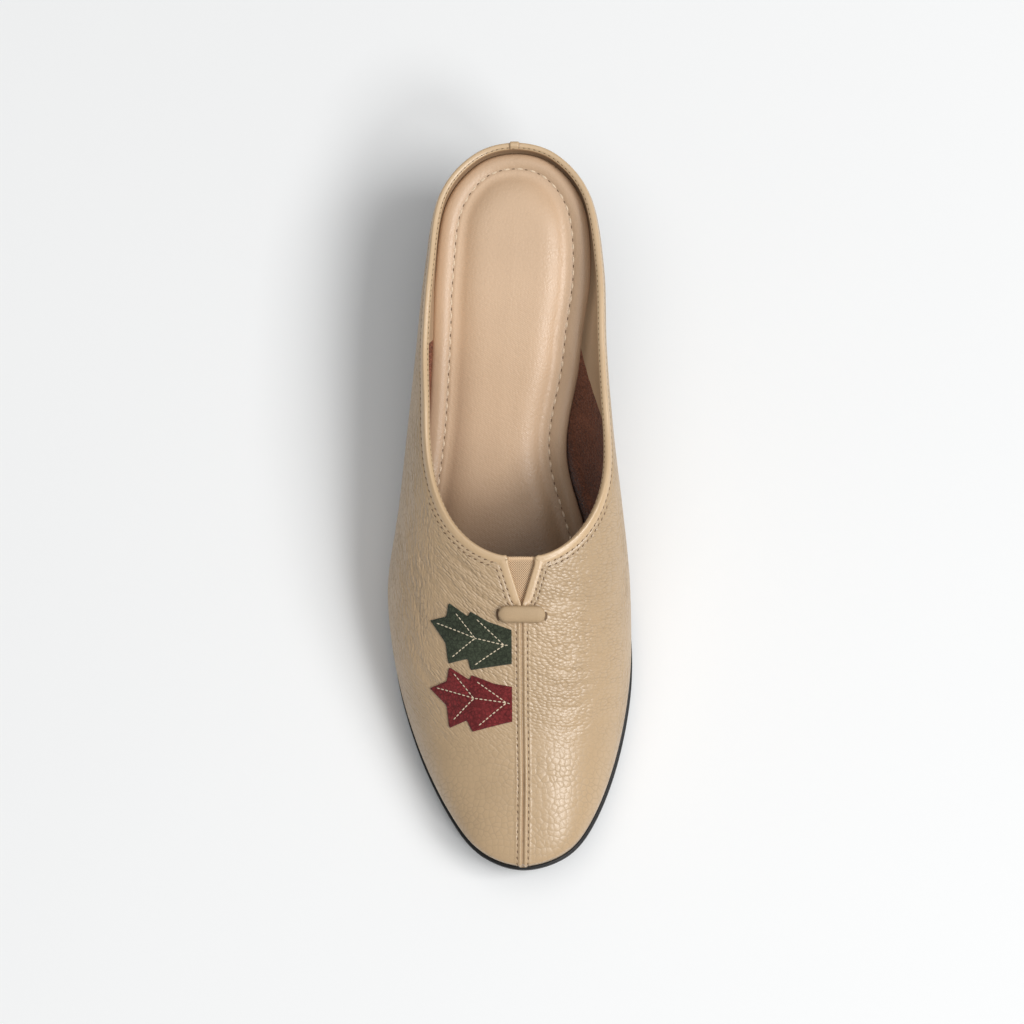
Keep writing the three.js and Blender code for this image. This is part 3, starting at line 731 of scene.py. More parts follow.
def surface_of(name):
    """Search tree over a finished piece's mesh."""
    bm = bmesh.new()
    bm.from_mesh(bpy.data.objects[name].data)
    tree = BVHTree.FromBMesh(bm)
    bm.free()
    return tree


DROP_HEIGHT = 200


def dropped_on(tree, sides, alongs):
    """Where plan points dropped from above meet a surface: points in the shoe's own millimetres, and normals
    in the frame."""
    heights = np.full(np.shape(sides), DROP_HEIGHT)
    starts = to_frame(np.stack([sides, alongs, heights], axis=-1))
    points = np.empty(starts.shape)
    normals = np.empty(starts.shape)
    for at in np.ndindex(heights.shape):
        hit, normal, _, _ = tree.ray_cast(Vector(starts[at]), Vector((0, 0, -1)))
        if hit is None:
            raise RuntimeError("a piece of trim lies beside the surface that carries it")
        points[at] = to_shoe(hit)
        normals[at] = normal
    return points, normals


def add_stitch(bm, place, run, normal, size):
    """One stitch: a rounded thread of size (length, width, height) lying along run on a surface."""
    normal = normal.normalized()
    along = (run - normal * run.dot(normal)).normalized()
    across = normal.cross(along)
    turn = Matrix((along, across, normal)).transposed().to_4x4()
    shape = Matrix.Diagonal((*(0.5 * length for length in size), 1))
    bmesh.ops.create_icosphere(bm, subdivisions=2, radius=1, matrix=Matrix.Translation(place) @ turn @ shape)


def sew(bm, holes, tree, line, pitch, size, hole=None, slant=0.0, sink=0.0):
    """Stitches along a line of the shoe's own points, laid on a surface, with dark needle slots of their own
    size between them, which stand in for the shade in the needle holes."""
    if len(line) < 2:
        return
    places = spread(line, pitch / 2)
    framed = [Vector(point) for point in to_frame(places)]
    for i in range(1, len(framed) - 1):
        hit, normal, _, _ = tree.find_nearest(framed[i])
        run = Matrix.Rotation(slant, 3, normal) @ (framed[i + 1] - framed[i - 1])
        if i % 2 == 1:
            add_stitch(bm, hit - normal * sink, run, normal, size)
        elif hole is not None:
            add_stitch(holes, hit - normal * hole[2] * SLOT_SINK, run, normal, hole)


# Shader nodes


def add_node(tree, kind, inputs=None, **settings):
    """A node with its settings, and its inputs set to values or linked to sockets."""
    node = tree.nodes.new(kind)
    for name, value in settings.items():
        setattr(node, name, value)
    for key, value in (inputs or {}).items():
        if isinstance(value, bpy.types.NodeSocket):
            tree.links.new(value, node.inputs[key])
        else:
            node.inputs[key].default_value = value
    return node


def maths(tree, operation, first, second=0.0):
    return add_node(tree, "ShaderNodeMath", {0: first, 1: second}, operation=operation).outputs[0]


def ramp(tree, value, low, high, to_low=0.0, to_high=1.0):
    """A value mapped smoothly from one range to another."""
    inputs = {"Value": value, "From Min": low, "From Max": high, "To Min": to_low, "To Max": to_high}
    return add_node(tree, "ShaderNodeMapRange", inputs, interpolation_type="SMOOTHSTEP").outputs["Result"]


def mixed(tree, factor, first, second, blend="MIX"):
    inputs = {"Factor": factor, 6: first, 7: second}
    return add_node(tree, "ShaderNodeMix", inputs, data_type="RGBA", blend_type=blend).outputs[2]


def blended(tree, factor, first, second):
    return add_node(tree, "ShaderNodeMix", {0: factor, 2: first, 3: second}).outputs[0]


def attribute(tree, name):
    return add_node(tree, "ShaderNodeAttribute", attribute_name=name).outputs["Fac"]


def object_place(tree, scale=(1, 1, 1)):
    """Object coordinates, drawn out along the axes by a scale."""
    place = add_node(tree, "ShaderNodeTexCoord").outputs["Object"]
    return add_node(tree, "ShaderNodeMapping", {"Vector": place, "Scale": scale}).outputs["Vector"]


def new_group(name, inputs, outputs):
    """An empty node group with the named sockets. Returns it with its inner input and output sockets."""
    group = bpy.data.node_groups.new(name, "ShaderNodeTree")
    for socket_name, kind, default in inputs:
        socket = group.interface.new_socket(socket_name, in_out="INPUT", socket_type=kind)
        if default is not None:
            socket.default_value = default
    for socket_name in outputs:
        group.interface.new_socket(socket_name, in_out="OUTPUT", socket_type="NodeSocketFloat")
    return group, group.nodes.new("NodeGroupInput").outputs, group.nodes.new("NodeGroupOutput").inputs


@functools.cache
def pebble_grain(dimensions="3D"):
    """Leather grain: round pebbles or flat plates that meet in fine creases and swell and fade over the hide.
    In 2D it is laid on from above."""
    sockets = (
        ("Place", "NodeSocketVector", None),
        ("Pebble", "NodeSocketFloat", 0.002),
        ("Wander", "NodeSocketFloat", 0.5),
    )
    group, given, out = new_group(f"Pebble grain {dimensions}", sockets, ("Height", "Plate", "Crease"))
    scale = maths(group, "DIVIDE", 1.0, given["Pebble"])
    drift = add_node(
        group, "ShaderNodeTexNoise",
        {"Vector": given["Place"], "Scale": maths(group, "MULTIPLY", scale, 0.45), "Detail": 2.0},
    ).outputs["Color"]
    centred = add_node(group, "ShaderNodeVectorMath", {0: drift, 1: (0.5, 0.5, 0.5)}, operation="SUBTRACT")
    reach = maths(group, "MULTIPLY", given["Pebble"], given["Wander"])
    steps = {0: centred.outputs[0], "Scale": reach}
    moved = add_node(group, "ShaderNodeVectorMath", steps, operation="SCALE")
    place = add_node(group, "ShaderNodeVectorMath", {0: given["Place"], 1: moved.outputs[0]}, operation="ADD")
    cells = {"Vector": place.outputs[0], "Scale": scale, "Randomness": 0.9}
    settings = {"voronoi_dimensions": dimensions}
    border = add_node(group, "ShaderNodeTexVoronoi", cells, feature="DISTANCE_TO_EDGE", **settings)
    centre = add_node(group, "ShaderNodeTexVoronoi", cells, feature="F1", **settings).outputs["Distance"]
    fine = add_node(
        group, "ShaderNodeTexNoise",
        {"Vector": place.outputs[0], "Scale": maths(group, "MULTIPLY", scale, 4.0), "Detail": 3.0},
    ).outputs[0]
    slow = add_node(
        group, "ShaderNodeTexNoise",
        {"Vector": given["Place"], "Scale": maths(group, "MULTIPLY", scale, 0.2), "Detail": 2.0},
    ).outputs[0]
    swell = ramp(group, slow, 0.3, 0.66, 0.5, 1.0)
    fall = maths(group, "MULTIPLY", maths(group, "MULTIPLY", centre, centre), 1.6)
    dome = maths(group, "MULTIPLY", maths(group, "MAXIMUM", maths(group, "SUBTRACT", 1.0, fall), 0.0), swell)
    height = maths(group, "ADD", maths(group, "MULTIPLY", dome, 0.9), maths(group, "MULTIPLY", fine, 0.1))
    group.links.new(height, out["Height"])
    plate = maths(group, "MULTIPLY", ramp(group, border.outputs["Distance"], 0.0, 0.34), swell)
    group.links.new(plate, out["Plate"])
    crease = maths(group, "MULTIPLY", ramp(group, border.outputs["Distance"], 0.0, 0.16, 1.0, 0.0), swell)
    group.links.new(crease, out["Crease"])
    return group


@functools.cache
def tone_drift():
    """Slow change of tone over a hide, with faint specks."""
    sockets = (("Place", "NodeSocketVector", None), ("Patch", "NodeSocketFloat", 0.03))
    group, given, out = new_group("Tone drift", sockets, ("Tone", "Speck"))
    scale = maths(group, "DIVIDE", 1.0, given["Patch"])
    slow = add_node(group, "ShaderNodeTexNoise", {"Vector": given["Place"], "Scale": scale, "Detail": 3.0})
    speck = add_node(
        group, "ShaderNodeTexNoise",
        {"Vector": given["Place"], "Scale": maths(group, "MULTIPLY", scale, 45.0), "Detail": 2.0},
    )
    group.links.new(ramp(group, slow.outputs[0], 0.3, 0.7), out["Tone"])
    group.links.new(ramp(group, speck.outputs[0], 0.5, 0.75), out["Speck"])
    return group


@functools.cache
def suede_nap():
    """Short nap of suede: fine fibres lying in soft patches."""
    sockets = (("Place", "NodeSocketVector", None), ("Fibre", "NodeSocketFloat", 0.0004))
    group, given, out = new_group("Suede nap", sockets, ("Height", "Shade"))
    scale = maths(group, "DIVIDE", 1.0, given["Fibre"])
    fibre = add_node(
        group, "ShaderNodeTexNoise",
        {"Vector": given["Place"], "Scale": scale, "Detail": 4.0, "Roughness": 0.7},
    ).outputs[0]
    patch = add_node(
        group, "ShaderNodeTexNoise",
        {"Vector": given["Place"], "Scale": maths(group, "MULTIPLY", scale, 0.12), "Detail": 3.0},
    ).outputs[0]
    group.links.new(ramp(group, fibre, 0.25, 0.75), out["Height"])
    shade = maths(group, "ADD", maths(group, "MULTIPLY", patch, 0.25), maths(group, "MULTIPLY", fibre, 0.75))
    group.links.new(ramp(group, shade, 0.3, 0.7), out["Shade"])
    return group


def use_group(tree, group, inputs):
    return add_node(tree, "ShaderNodeGroup", inputs, node_tree=group).outputs


def new_material(name, roughness=0.5, specular=0.5):
    """A material with its Principled shader, whose plain values are set on the shader itself."""
    material = bpy.data.materials.new(name)
    material.use_nodes = True
    tree = material.node_tree
    shader = tree.nodes["Principled BSDF"]
    shader.inputs["Roughness"].default_value = roughness
    shader.inputs["Specular IOR Level"].default_value = specular
    return material, tree, shader.inputs


def set_bump(tree, sockets, height, depth, below=None):
    """Raises the surface by a height of 0 to 1 times a depth in metres, over another bump's normal."""
    inputs = {"Height": height, "Distance": depth, "Strength": 1.0}
    if below is not None:
        inputs["Normal"] = below
    normal = add_node(tree, "ShaderNodeBump", inputs).outputs["Normal"]
    tree.links.new(normal, sockets["Normal"])
    return normal


def opaque(colour, strength=1.0):
    return (*(channel * strength for channel in colour), 1.0)


def toned(tree, place, colour, patch, spread_by):
    """A colour that drifts a little lighter and darker over the surface."""
    drift = use_group(tree, tone_drift(), {"Place": place, "Patch": patch})
    low = opaque(colour, 1 - spread_by)
    high = opaque(colour, 1 + spread_by)
    return mixed(tree, drift["Tone"], low, high), drift["Speck"]


def bowed_place(tree, scale):
    """Object coordinates with their rows bowed towards the toe, as the vamp's wrinkles run."""
    place = add_node(tree, "ShaderNodeTexCoord").outputs["Object"]
    across, along, up = add_node(tree, "ShaderNodeSeparateXYZ", {0: place}).outputs
    aside = maths(tree, "SUBTRACT", across, BOW_CENTRE)
    bow = maths(tree, "MULTIPLY", maths(tree, "MULTIPLY", aside, aside), BOW)
    bowed = add_node(tree, "ShaderNodeCombineXYZ", {0: across, 1: maths(tree, "SUBTRACT", along, bow), 2: up})
    return add_node(tree, "ShaderNodeMapping", {"Vector": bowed.outputs[0], "Scale": scale}).outputs["Vector"]


def leather_material(colours, sizes):
    """Pebbled leather: soft flat cells on the toe, small bowed rows of wrinkles over the vamp and drawn-out
    wrinkles down the sides, with a smooth rim made lighter by painted sheen, and painted shade in the creases
    and sewn grooves."""
    material, tree, sockets = new_material("pebbled_leather", specular=0.72)
    place = object_place(tree)
    toe_grain = use_group(
        tree, pebble_grain("2D"), {"Place": place, "Pebble": sizes.pebble * 0.9, "Wander": 0.8},
    )
    drawn_grain = use_group(
        tree, pebble_grain(),
        {"Place": object_place(tree, (1.05, 0.32, 0.55)), "Pebble": sizes.pebble * 0.38, "Wander": 1.1},
    )
    crossed_grain = use_group(
        tree, pebble_grain("2D"),
        {"Place": bowed_place(tree, (0.72, 1.3, 1)), "Pebble": sizes.pebble * 0.56, "Wander": 0.8},
    )
    drawn = attribute(tree, "drawn")
    crossed = attribute(tree, "crossed")
    grain = attribute(tree, "grain")
    groove = attribute(tree, "groove")
    toe_height = blended(tree, 0.85, toe_grain["Plate"], toe_grain["Height"])
    height = blended(tree, crossed, maths(tree, "MULTIPLY", toe_height, 0.34), crossed_grain["Height"])
    height = blended(tree, drawn, height, maths(tree, "MULTIPLY", drawn_grain["Height"], 1.3))
    crease = blended(tree, crossed, toe_grain["Crease"], crossed_grain["Crease"])
    crease = maths(tree, "MULTIPLY", blended(tree, drawn, crease, drawn_grain["Crease"]), grain)
    hide, speck = toned(tree, place, colours.leather, 0.035, 0.05)
    # Painted sheen: where the grain fades, on the rim and the band beside the edge, the leather is made
    # lighter
    base = mixed(tree, ramp(tree, grain, 0.06, 0.3, 1.0, 0.0), hide, opaque(colours.leather, 1.24))
    # Painted shade in the grain's creases
    darkened_creases = mixed(tree, maths(tree, "MULTIPLY", crease, 0.3), base, opaque(colours.leather, 0.55))
    # Painted shade in the sewn grooves, the seam's cleft and the back join, in the needle slots' dark colour
    dark = opaque(colours.needle_hole, 1.6)
    sewn = mixed(tree, maths(tree, "MULTIPLY", groove, 0.8), darkened_creases, dark)
    tree.links.new(sewn, sockets["Base Color"])
    gloss = ramp(tree, crossed, 0.0, 1.0, 0.29, 0.31)
    rough = maths(tree, "ADD", ramp(tree, crease, 0.0, 0.8, gloss, 0.5), maths(tree, "MULTIPLY", speck, 0.06))
    tree.links.new(rough, sockets["Roughness"])
    raised = maths(tree, "MULTIPLY", height, maths(tree, "ADD", maths(tree, "MULTIPLY", grain, 0.95), 0.05))
    pores = use_group(tree, pebble_grain(), {"Place": place, "Pebble": sizes.pebble * 0.28})
    fine = set_bump(tree, sockets, pores["Height"], 0.018 * MM)
    set_bump(tree, sockets, raised, GRAIN_DEPTH, fine)
    return material


def smooth_leather_material(name, colour, colours, sizes):
    """Smooth split leather with a fine grain, painted shade in its creases and, from its groove value,
    painted shade in the rim's sunk stitch row, the back join and the foot of the collar strip.
    """
    material, tree, sockets = new_material(name, specular=0.35)
    place = object_place(tree)
    base, speck = toned(tree, place, colour, 0.02, 0.06)
    grain = use_group(tree, pebble_grain(), {"Place": place, "Pebble": sizes.pebble * 0.35})
    # Painted shade in the grain's creases
    darkened_creases = mixed(tree, maths(tree, "MULTIPLY", grain["Crease"], 0.2), base, opaque(colour, 0.7))
    # Painted shade in the rim's sunk stitch row, the back join and the foot of the collar strip
    groove = maths(tree, "MULTIPLY", attribute(tree, "groove"), 0.75)
    tree.links.new(mixed(tree, groove, darkened_creases, opaque(colours.needle_hole, 1.6)), sockets["Base Color"])
    tree.links.new(ramp(tree, speck, 0.0, 1.0, 0.62, 0.5), sockets["Roughness"])
    set_bump(tree, sockets, grain["Height"], 0.03 * MM)
    return material


def suede_material(name, colour, fibre, sheen, crack=0.0):
    """Napped suede, with its shade changing as the fibres lie, and fine cracks where a width is given."""
    material, tree, sockets = new_material(name, roughness=0.92, specular=0.15)
    place = object_place(tree)
    nap = use_group(tree, suede_nap(), {"Place": place, "Fibre": fibre})
    shaded = mixed(tree, nap["Shade"], opaque(colour, 0.6), opaque(colour, 1.45))
    base, speck = toned(tree, place, (1, 1, 1), 0.012, 0.06)
    napped = mixed(tree, 1.0, shaded, base, "MULTIPLY")
    tree.links.new(napped, sockets["Base Color"])
    tree.links.new(ramp(tree, speck, 0.0, 1.0, 0.95, 0.82), sockets["Roughness"])
    sockets["Sheen Weight"].default_value = sheen
    sockets["Sheen Roughness"].default_value = 0.5
    under = set_bump(tree, sockets, nap["Height"], 0.09 * MM)
    if crack:
        hide = use_group(tree, pebble_grain(), {"Place": place, "Pebble": crack, "Wander": 1.2})
        darkened_creases = mixed(tree, maths(tree, "MULTIPLY", hide["Crease"], 0.7), napped, opaque(colour, 0.35))
        tree.links.new(darkened_creases, sockets["Base Color"])
        set_bump(tree, sockets, hide["Height"], 0.16 * MM, under)
    return material


def insole_material(colours):
    """Smooth insole leather with a fine close grain, with painted shade in its creases, in the sewn valley
    and over the margin, and painted shade under the vamp towards the toe.
    """
    material, tree, sockets = new_material("insole_leather", specular=0.42)
    place = object_place(tree)
    clean, speck = toned(tree, place, colours.insole, 0.045, 0.035)
    across, along, _ = add_node(tree, "ShaderNodeSeparateXYZ", {0: place}).outputs
    # Painted shade under the vamp: the cover darkens towards the toe
    under_vamp_shade = ramp(tree, along, 30 * MM, -18 * MM)
    base = mixed(tree, under_vamp_shade, clean, opaque(colours.insole_front_shade))
    grain = use_group(tree, pebble_grain(), {"Place": object_place(tree, (1, 0.75, 1)), "Pebble": 0.85 * MM})
    # Painted shade in the grain's creases
    darkened_creases = mixed(tree, maths(tree, "MULTIPLY", grain["Crease"], 0.14), base, opaque(colours.insole, 0.68))
    # Painted shade in the sewn valley and over the margin outside it
    groove = maths(tree, "MULTIPLY", attribute(tree, "groove"), 0.3)
    tree.links.new(mixed(tree, groove, darkened_creases, opaque(colours.insole, 0.45)), sockets["Base Color"])
    slanted = maths(tree, "ADD", across, maths(tree, "MULTIPLY", along, 1.6))
    twill = maths(tree, "SINE", maths(tree, "MULTIPLY", slanted, 2 * math.pi / TWILL))
    twill = maths(tree, "MULTIPLY", twill, 0.14)
    fine_height = maths(tree, "ADD", grain["Height"], twill)
    polish = ramp(tree, grain["Height"], 0.1, 0.9, 0.37, 0.27)
    rough = maths(tree, "ADD", polish, maths(tree, "MULTIPLY", speck, 0.05))
    tree.links.new(rough, sockets["Roughness"])
    set_bump(tree, sockets, fine_height, 0.05 * MM)
    return material


def elastic_material(colours):
    """Woven elastic: close ribs crossed by the weft, on the piece's own along and across values."""
    material, tree, sockets = new_material("woven_elastic", roughness=0.85, specular=0.2)
    turns = 2 * math.pi / WEAVE_PITCH
    across = maths(tree, "SINE", maths(tree, "MULTIPLY", attribute(tree, "across"), turns))
    along = maths(tree, "SINE", maths(tree, "MULTIPLY", attribute(tree, "along"), turns))
    weave = ramp(tree, maths(tree, "MULTIPLY", across, along), -0.9, 0.9)
    rib = ramp(tree, across, -1.0, 1.0)
    place = object_place(tree)
    nap = use_group(tree, suede_nap(), {"Place": place, "Fibre": 0.25 * MM})
    base, _ = toned(tree, place, colours.elastic, 0.01, 0.06)
    cloth = mixed(tree, weave, opaque(colours.elastic, 0.42), base)
    hem = maths(tree, "MULTIPLY", attribute(tree, "hem"), 0.55)
    hemmed = mixed(tree, hem, cloth, opaque(colours.elastic, 1.25))
    tree.links.new(hemmed, sockets["Base Color"])
    tree.links.new(ramp(tree, nap["Shade"], 0.0, 1.0, 0.8, 0.92), sockets["Roughness"])
    height = maths(tree, "ADD", maths(tree, "MULTIPLY", weave, 0.7), maths(tree, "MULTIPLY", rib, 0.3))
    set_bump(tree, sockets, height, 0.16 * MM)
    return material


def thread_material(name, colour):
    """Twisted sewing thread, dulled where it has been handled."""
    material, tree, sockets = new_material(name, roughness=0.7, specular=0.3)
    place = object_place(tree)
    nap = use_group(tree, suede_nap(), {"Place": place, "Fibre": 0.12 * MM})
    base = mixed(tree, nap["Shade"], opaque(colour, 0.78), opaque(colour, 1.12))
    tree.links.new(base, sockets["Base Color"])
    tree.links.new(ramp(tree, nap["Height"], 0.0, 1.0, 0.62, 0.8), sockets["Roughness"])
    set_bump(tree, sockets, nap["Height"], 0.04 * MM)
    return material


SCUFF = (0.05, 0.05, 0.05, 1)


def rubber_material(colours):
    """Moulded black rubber, scuffed a little grey where it meets the ground."""
    material, tree, sockets = new_material("black_rubber", specular=0.4)
    place = object_place(tree)
    base, speck = toned(tree, place, colours.rubber, 0.02, 0.15)
    rub = maths(tree, "MULTIPLY", attribute(tree, "wear"), ramp(tree, speck, 0.0, 0.6, 0.35, 1.0))
    scuffed = mixed(tree, maths(tree, "MULTIPLY", rub, 0.5), base, SCUFF)
    tree.links.new(scuffed, sockets["Base Color"])
    grain = use_group(tree, pebble_grain(), {"Place": place, "Pebble": 0.5 * MM})
    tree.links.new(ramp(tree, grain["Height"], 0.2, 0.95, 0.55, 0.42), sockets["Roughness"])
    set_bump(tree, sockets, grain["Height"], 0.02 * MM)
    return material


def heel_material(colours):
    """Black covered heel with a fine pressed grain."""
    material, tree, sockets = new_material("heel_cover", specular=0.45)
    place = object_place(tree)
    base, speck = toned(tree, place, colours.rubber, 0.015, 0.12)
    grain = use_group(tree, pebble_grain(), {"Place": place, "Pebble": 0.9 * MM})
    rub = maths(tree, "MULTIPLY", attribute(tree, "wear"), ramp(tree, speck, 0.0, 0.6, 0.3, 1.0))
    scuffed = mixed(tree, maths(tree, "MULTIPLY", rub, 0.45), base, SCUFF)
    tree.links.new(scuffed, sockets["Base Color"])
    tree.links.new(ramp(tree, grain["Height"], 0.2, 0.95, 0.5, 0.36), sockets["Roughness"])
    set_bump(tree, sockets, grain["Height"], 0.05 * MM)
    return material


def floor_material(colours):
    """Pale seamless paper."""
    material, tree, sockets = new_material("pale_floor", roughness=0.9, specular=0.1)
    place = object_place(tree)
    base, speck = toned(tree, place, colours.floor, 0.4, 0.008)
    tree.links.new(base, sockets["Base Color"])
    tree.links.new(ramp(tree, speck, 0.0, 1.0, 0.88, 0.94), sockets["Roughness"])
    return material


# Pieces

# Rows of the upper's skin, up its outer face, over its rim and down its inner face
EDGE_ROWS = 23
EDGE_ZONE = 6.2
WALL_ROWS = 58
CAP_ROWS = 15
STRIP_ROWS = 13
LINING_ROWS = 18

# Relief of the upper's outer face: how far each roll, row and seam rises or sinks, and how wide it is
ROLL_RISE = 0.1
ROLL_AT = 0.7
SEWN_SINK = 0.16
SEWN_WIDTH = 0.36
SECOND_SINK = 0.14
SECOND_WIDTH = 0.32
SECOND_SETS_IN = (118, 128)
SEAM_BAND_RISE = 0.22
SEAM_BAND_EDGE = (2.1, 2.8)
SEAM_PUFF_RISE = 0.26
SEAM_PUFF_AT = 0.9
SEAM_PUFF_WIDTH = 0.5
SEAM_CLEFT_SINK = 0.6
SEAM_CLEFT_WIDTH = 0.28
SEAM_ROW_SINK = 0.22
SEAM_ROW_WIDTH = 0.34
BACK_SEAM_RISE = 0.45
BACK_SEAM_EDGE = (BACK_SEAM_HALF_WIDTH - 0.3, BACK_SEAM_HALF_WIDTH + 0.2)
BACK_JOIN_AT = BACK_SEAM_HALF_WIDTH + 0.15
BACK_JOIN_WIDTH = 0.2
TOPSTITCH_SINK = 0.36
TOPSTITCH_WIDTH = 0.19

# Shape of a crease: points along it, how many widths it reaches, and the lip beside it
CREASE_STEPS = 25
CREASE_REACH = 4
CREASE_LIP = 0.45
CREASE_LIP_AT = 2.1
CREASES_SET_IN = (1.0, 3.5)

# Where the leather's grain sets in, by distance from the edge, seam and sole, and where its wrinkles lie
GRAIN_FROM_EDGE = (1.8, 4.2)
GRAIN_FROM_SEAM = (1.0, 2.8)
GRAIN_FROM_SOLE = (2, 12)
GRAIN_LEAST = 0.06
GRAIN_ON_RIM = 0.08
DRAWN_SIDE = (19, 29)
DRAWN_SIDE_ALONG = (160, 190)
DRAWN_HEEL_ALONG = (112, 128)
DRAWN_STEEPNESS = (0.25, 0.5)
CROSSED_ALONG = (180, 212)

# Heights over the sole and its heel padding between which the painted shade at the foot of the collar strip
# fades
STRIP_SHADE = (3.4, 6.2)


def crease_depth(points):
    """How far the listed creases sink each of the upper's points, with a soft lip beside each."""
    depth = np.zeros(points.shape[:-1])
    plan = points[..., :2]
    share = np.linspace(0, 1, CREASE_STEPS)
    for start, end, bow, deep, width in CREASES:
        line = lerp(np.array(start, dtype=float), np.array(end, dtype=float), share[:, None])
        line[:, 1] += bow * 4 * share * (1 - share)
        low = line.min(axis=0) - CREASE_REACH * width
        high = line.max(axis=0) + CREASE_REACH * width
        near = np.all((plan > low) & (plan < high), axis=-1)
        gaps = np.linalg.norm(plan[near][:, None] - line[None], axis=-1)
        nearest = gaps.min(axis=1)
        fade = np.sin(math.pi * lerp(0.05, 0.95, share[gaps.argmin(axis=1)]))
        lip = CREASE_LIP * hump(nearest - CREASE_LIP_AT * width, width)
        depth[near] += deep * fade * (hump(nearest, width) - lip)
    return depth


def outer_face(wall):
    """The upper's outer face from its foot to the opening: its points, their distances to the opening and the
    centre seam, and how strongly the sewn rows and the back seam mark them."""
    lengths = wall.lengths[:, None]
    zone = np.minimum(EDGE_ZONE, 0.5 * lengths)
    fine = zone * np.linspace(0, 1, EDGE_ROWS)
    coarse = zone + (lengths - zone) * np.linspace(0, 1, WALL_ROWS + 1)[1:]
    from_foot = lengths - np.concatenate([fine, coarse], axis=1)[:, ::-1]
    skin, normals = on_wall(wall, from_foot)
    gap = distance_to(opening_edge().points, skin)
    seam = distance_to(seam_line(), skin)
    back = distance_to(wall.points[wall.heel], skin)
    first = hump(gap - SEWN_ROW, SEWN_WIDTH)
    second = smoothstep(skin[..., 1], *SECOND_SETS_IN) * hump(gap - SECOND_ROW, SECOND_WIDTH)
    on_back_seam = 1 - smoothstep(back, *BACK_SEAM_EDGE)
    relief = ROLL_RISE * hump(gap - ROLL_AT, ROLL_AT) - SEWN_SINK * first - SECOND_SINK * second
    relief += SEAM_BAND_RISE * (1 - smoothstep(seam, *SEAM_BAND_EDGE))
    relief += SEAM_PUFF_RISE * hump(seam - SEAM_PUFF_AT, SEAM_PUFF_WIDTH)
    relief -= SEAM_CLEFT_SINK * hump(seam, SEAM_CLEFT_WIDTH)
    relief -= SEAM_ROW_SINK * hump(seam - SEAM_ROW, SEAM_ROW_WIDTH)
    relief += BACK_SEAM_RISE * on_back_seam
    relief -= crease_depth(skin) * smoothstep(gap, *CREASES_SET_IN) * smoothstep(seam, *CREASES_SET_IN)
    return SimpleNamespace(
        points=skin + normals * relief[..., None], skin=skin, normals=normals, from_foot=from_foot, gap=gap,
        seam=seam, first=first, second=second, on_back_seam=on_back_seam,
        back_join=hump(back - BACK_JOIN_AT, BACK_JOIN_WIDTH),
    )


def inner_face(wall):
    """The upper's inner face in three parts: the collar strip, the lining and the margin under the insole."""
    lengths = wall.lengths[:, None]
    behind_notch = smoothstep(-wall_ridge(wall), 1 - THROAT_FRONT, 9 - THROAT_FRONT)
    rim_depth = lerp(NOTCH_RIM_DEPTH, RIM_DEPTH, behind_notch)
    inset = np.where(wall.is_open, rim_depth, WALL)[:, None]
    depth = strip_depth(wall)[:, None]
    strip_at = depth * np.linspace(0, 1, STRIP_ROWS) ** 1.15
    strip, strip_normals = on_wall(wall, lengths - strip_at)
    strip_in = inset - (inset - WALL) * smoothstep(strip_at / depth, 0.985, 1.0)
    strip = strip - strip_normals * strip_in[..., None]
    lining_at = depth + (lengths - depth) * np.linspace(0, 1, LINING_ROWS + 1)[1:]
    lining, lining_normals = on_wall(wall, lengths - lining_at)
    lining = lining - lining_normals * WALL
    tuck = lining[:, -1:].copy()
    tuck[..., :2] += unit(wall.points[:, -1:, :2] - tuck[..., :2]) * TUCK
    tuck[..., 2] = bed(tuck[..., 1]) + TUCK_LIFT
    return strip, lining, tuck


def rolled_rim(wall, face, strip):
    """Rows over the upper's rolled rim, from its outer face to the collar strip, and its sunk stitching."""
    edge = opening_edge()
    turn = np.linspace(0, math.pi, CAP_ROWS + 2)[1:-1]
    rows = lerp(face.points[:, -1:], strip[:, :1], ((1 - np.cos(turn)) / 2)[None, :, None])
    seam_side = ridge_side(THROAT_FRONT)
    corners = np.array([(seam_side + side * NOTCH_WIDTH / 2, THROAT_FRONT) for side in (-1, 1)])
    to_corner = np.linalg.norm(face.skin[:, -1, None, :2] - corners, axis=-1).min(axis=1)
    bulge = wall.rim * (1 + 0.8 * face.on_back_seam[:, -1]) + NOTCH_PEAK * hump(to_corner, 1.0)
    topstitch = smoothstep(wall.rim, 0.7, 1.0)[:, None] * hump(turn - RIM_STITCH_TURN, TOPSTITCH_WIDTH)
    out_by = bulge[:, None] * np.sin(turn) ** 0.6 - TOPSTITCH_SINK * topstitch
    rows[edge.at] += edge.outward[:, None] * out_by[edge.at][..., None]
    return rows, topstitch


def outer_finish(face):
    """What the leather reads on the upper's outer face: the strength of its grain, the shares of drawn-out
    and crossed wrinkles, and the painted shade in the sewn grooves and seams."""
    along = face.skin[..., 1]
    clear = smoothstep(face.gap, *GRAIN_FROM_EDGE) * lerp(0.4, 1, smoothstep(face.seam, *GRAIN_FROM_SEAM))
    rising = lerp(0.3, 1, smoothstep(face.from_foot, *GRAIN_FROM_SOLE))
    on_side = smoothstep(-face.skin[..., 0], *DRAWN_SIDE) * (1 - smoothstep(along, *DRAWN_SIDE_ALONG))
    on_heel = 1 - smoothstep(along, *DRAWN_HEEL_ALONG)
    steep = 1 - smoothstep(face.normals[..., 2], *DRAWN_STEEPNESS)
    # Painted shade in the sewn rows, the seam's cleft and the back join
    rows = 0.3 * face.first + 0.25 * face.second + 0.3 * hump(face.seam - SEAM_ROW, 0.3)
    joins = 0.9 * hump(face.seam, 0.26) + 0.7 * face.back_join
    return {
        "grain": lerp(GRAIN_LEAST, 1, clear * rising),
        "drawn": np.maximum(np.maximum(on_side, on_heel), steep),
        "crossed": 1 - smoothstep(along, *CROSSED_ALONG),
        "groove": np.clip(rows + joins, 0, 1),
    }


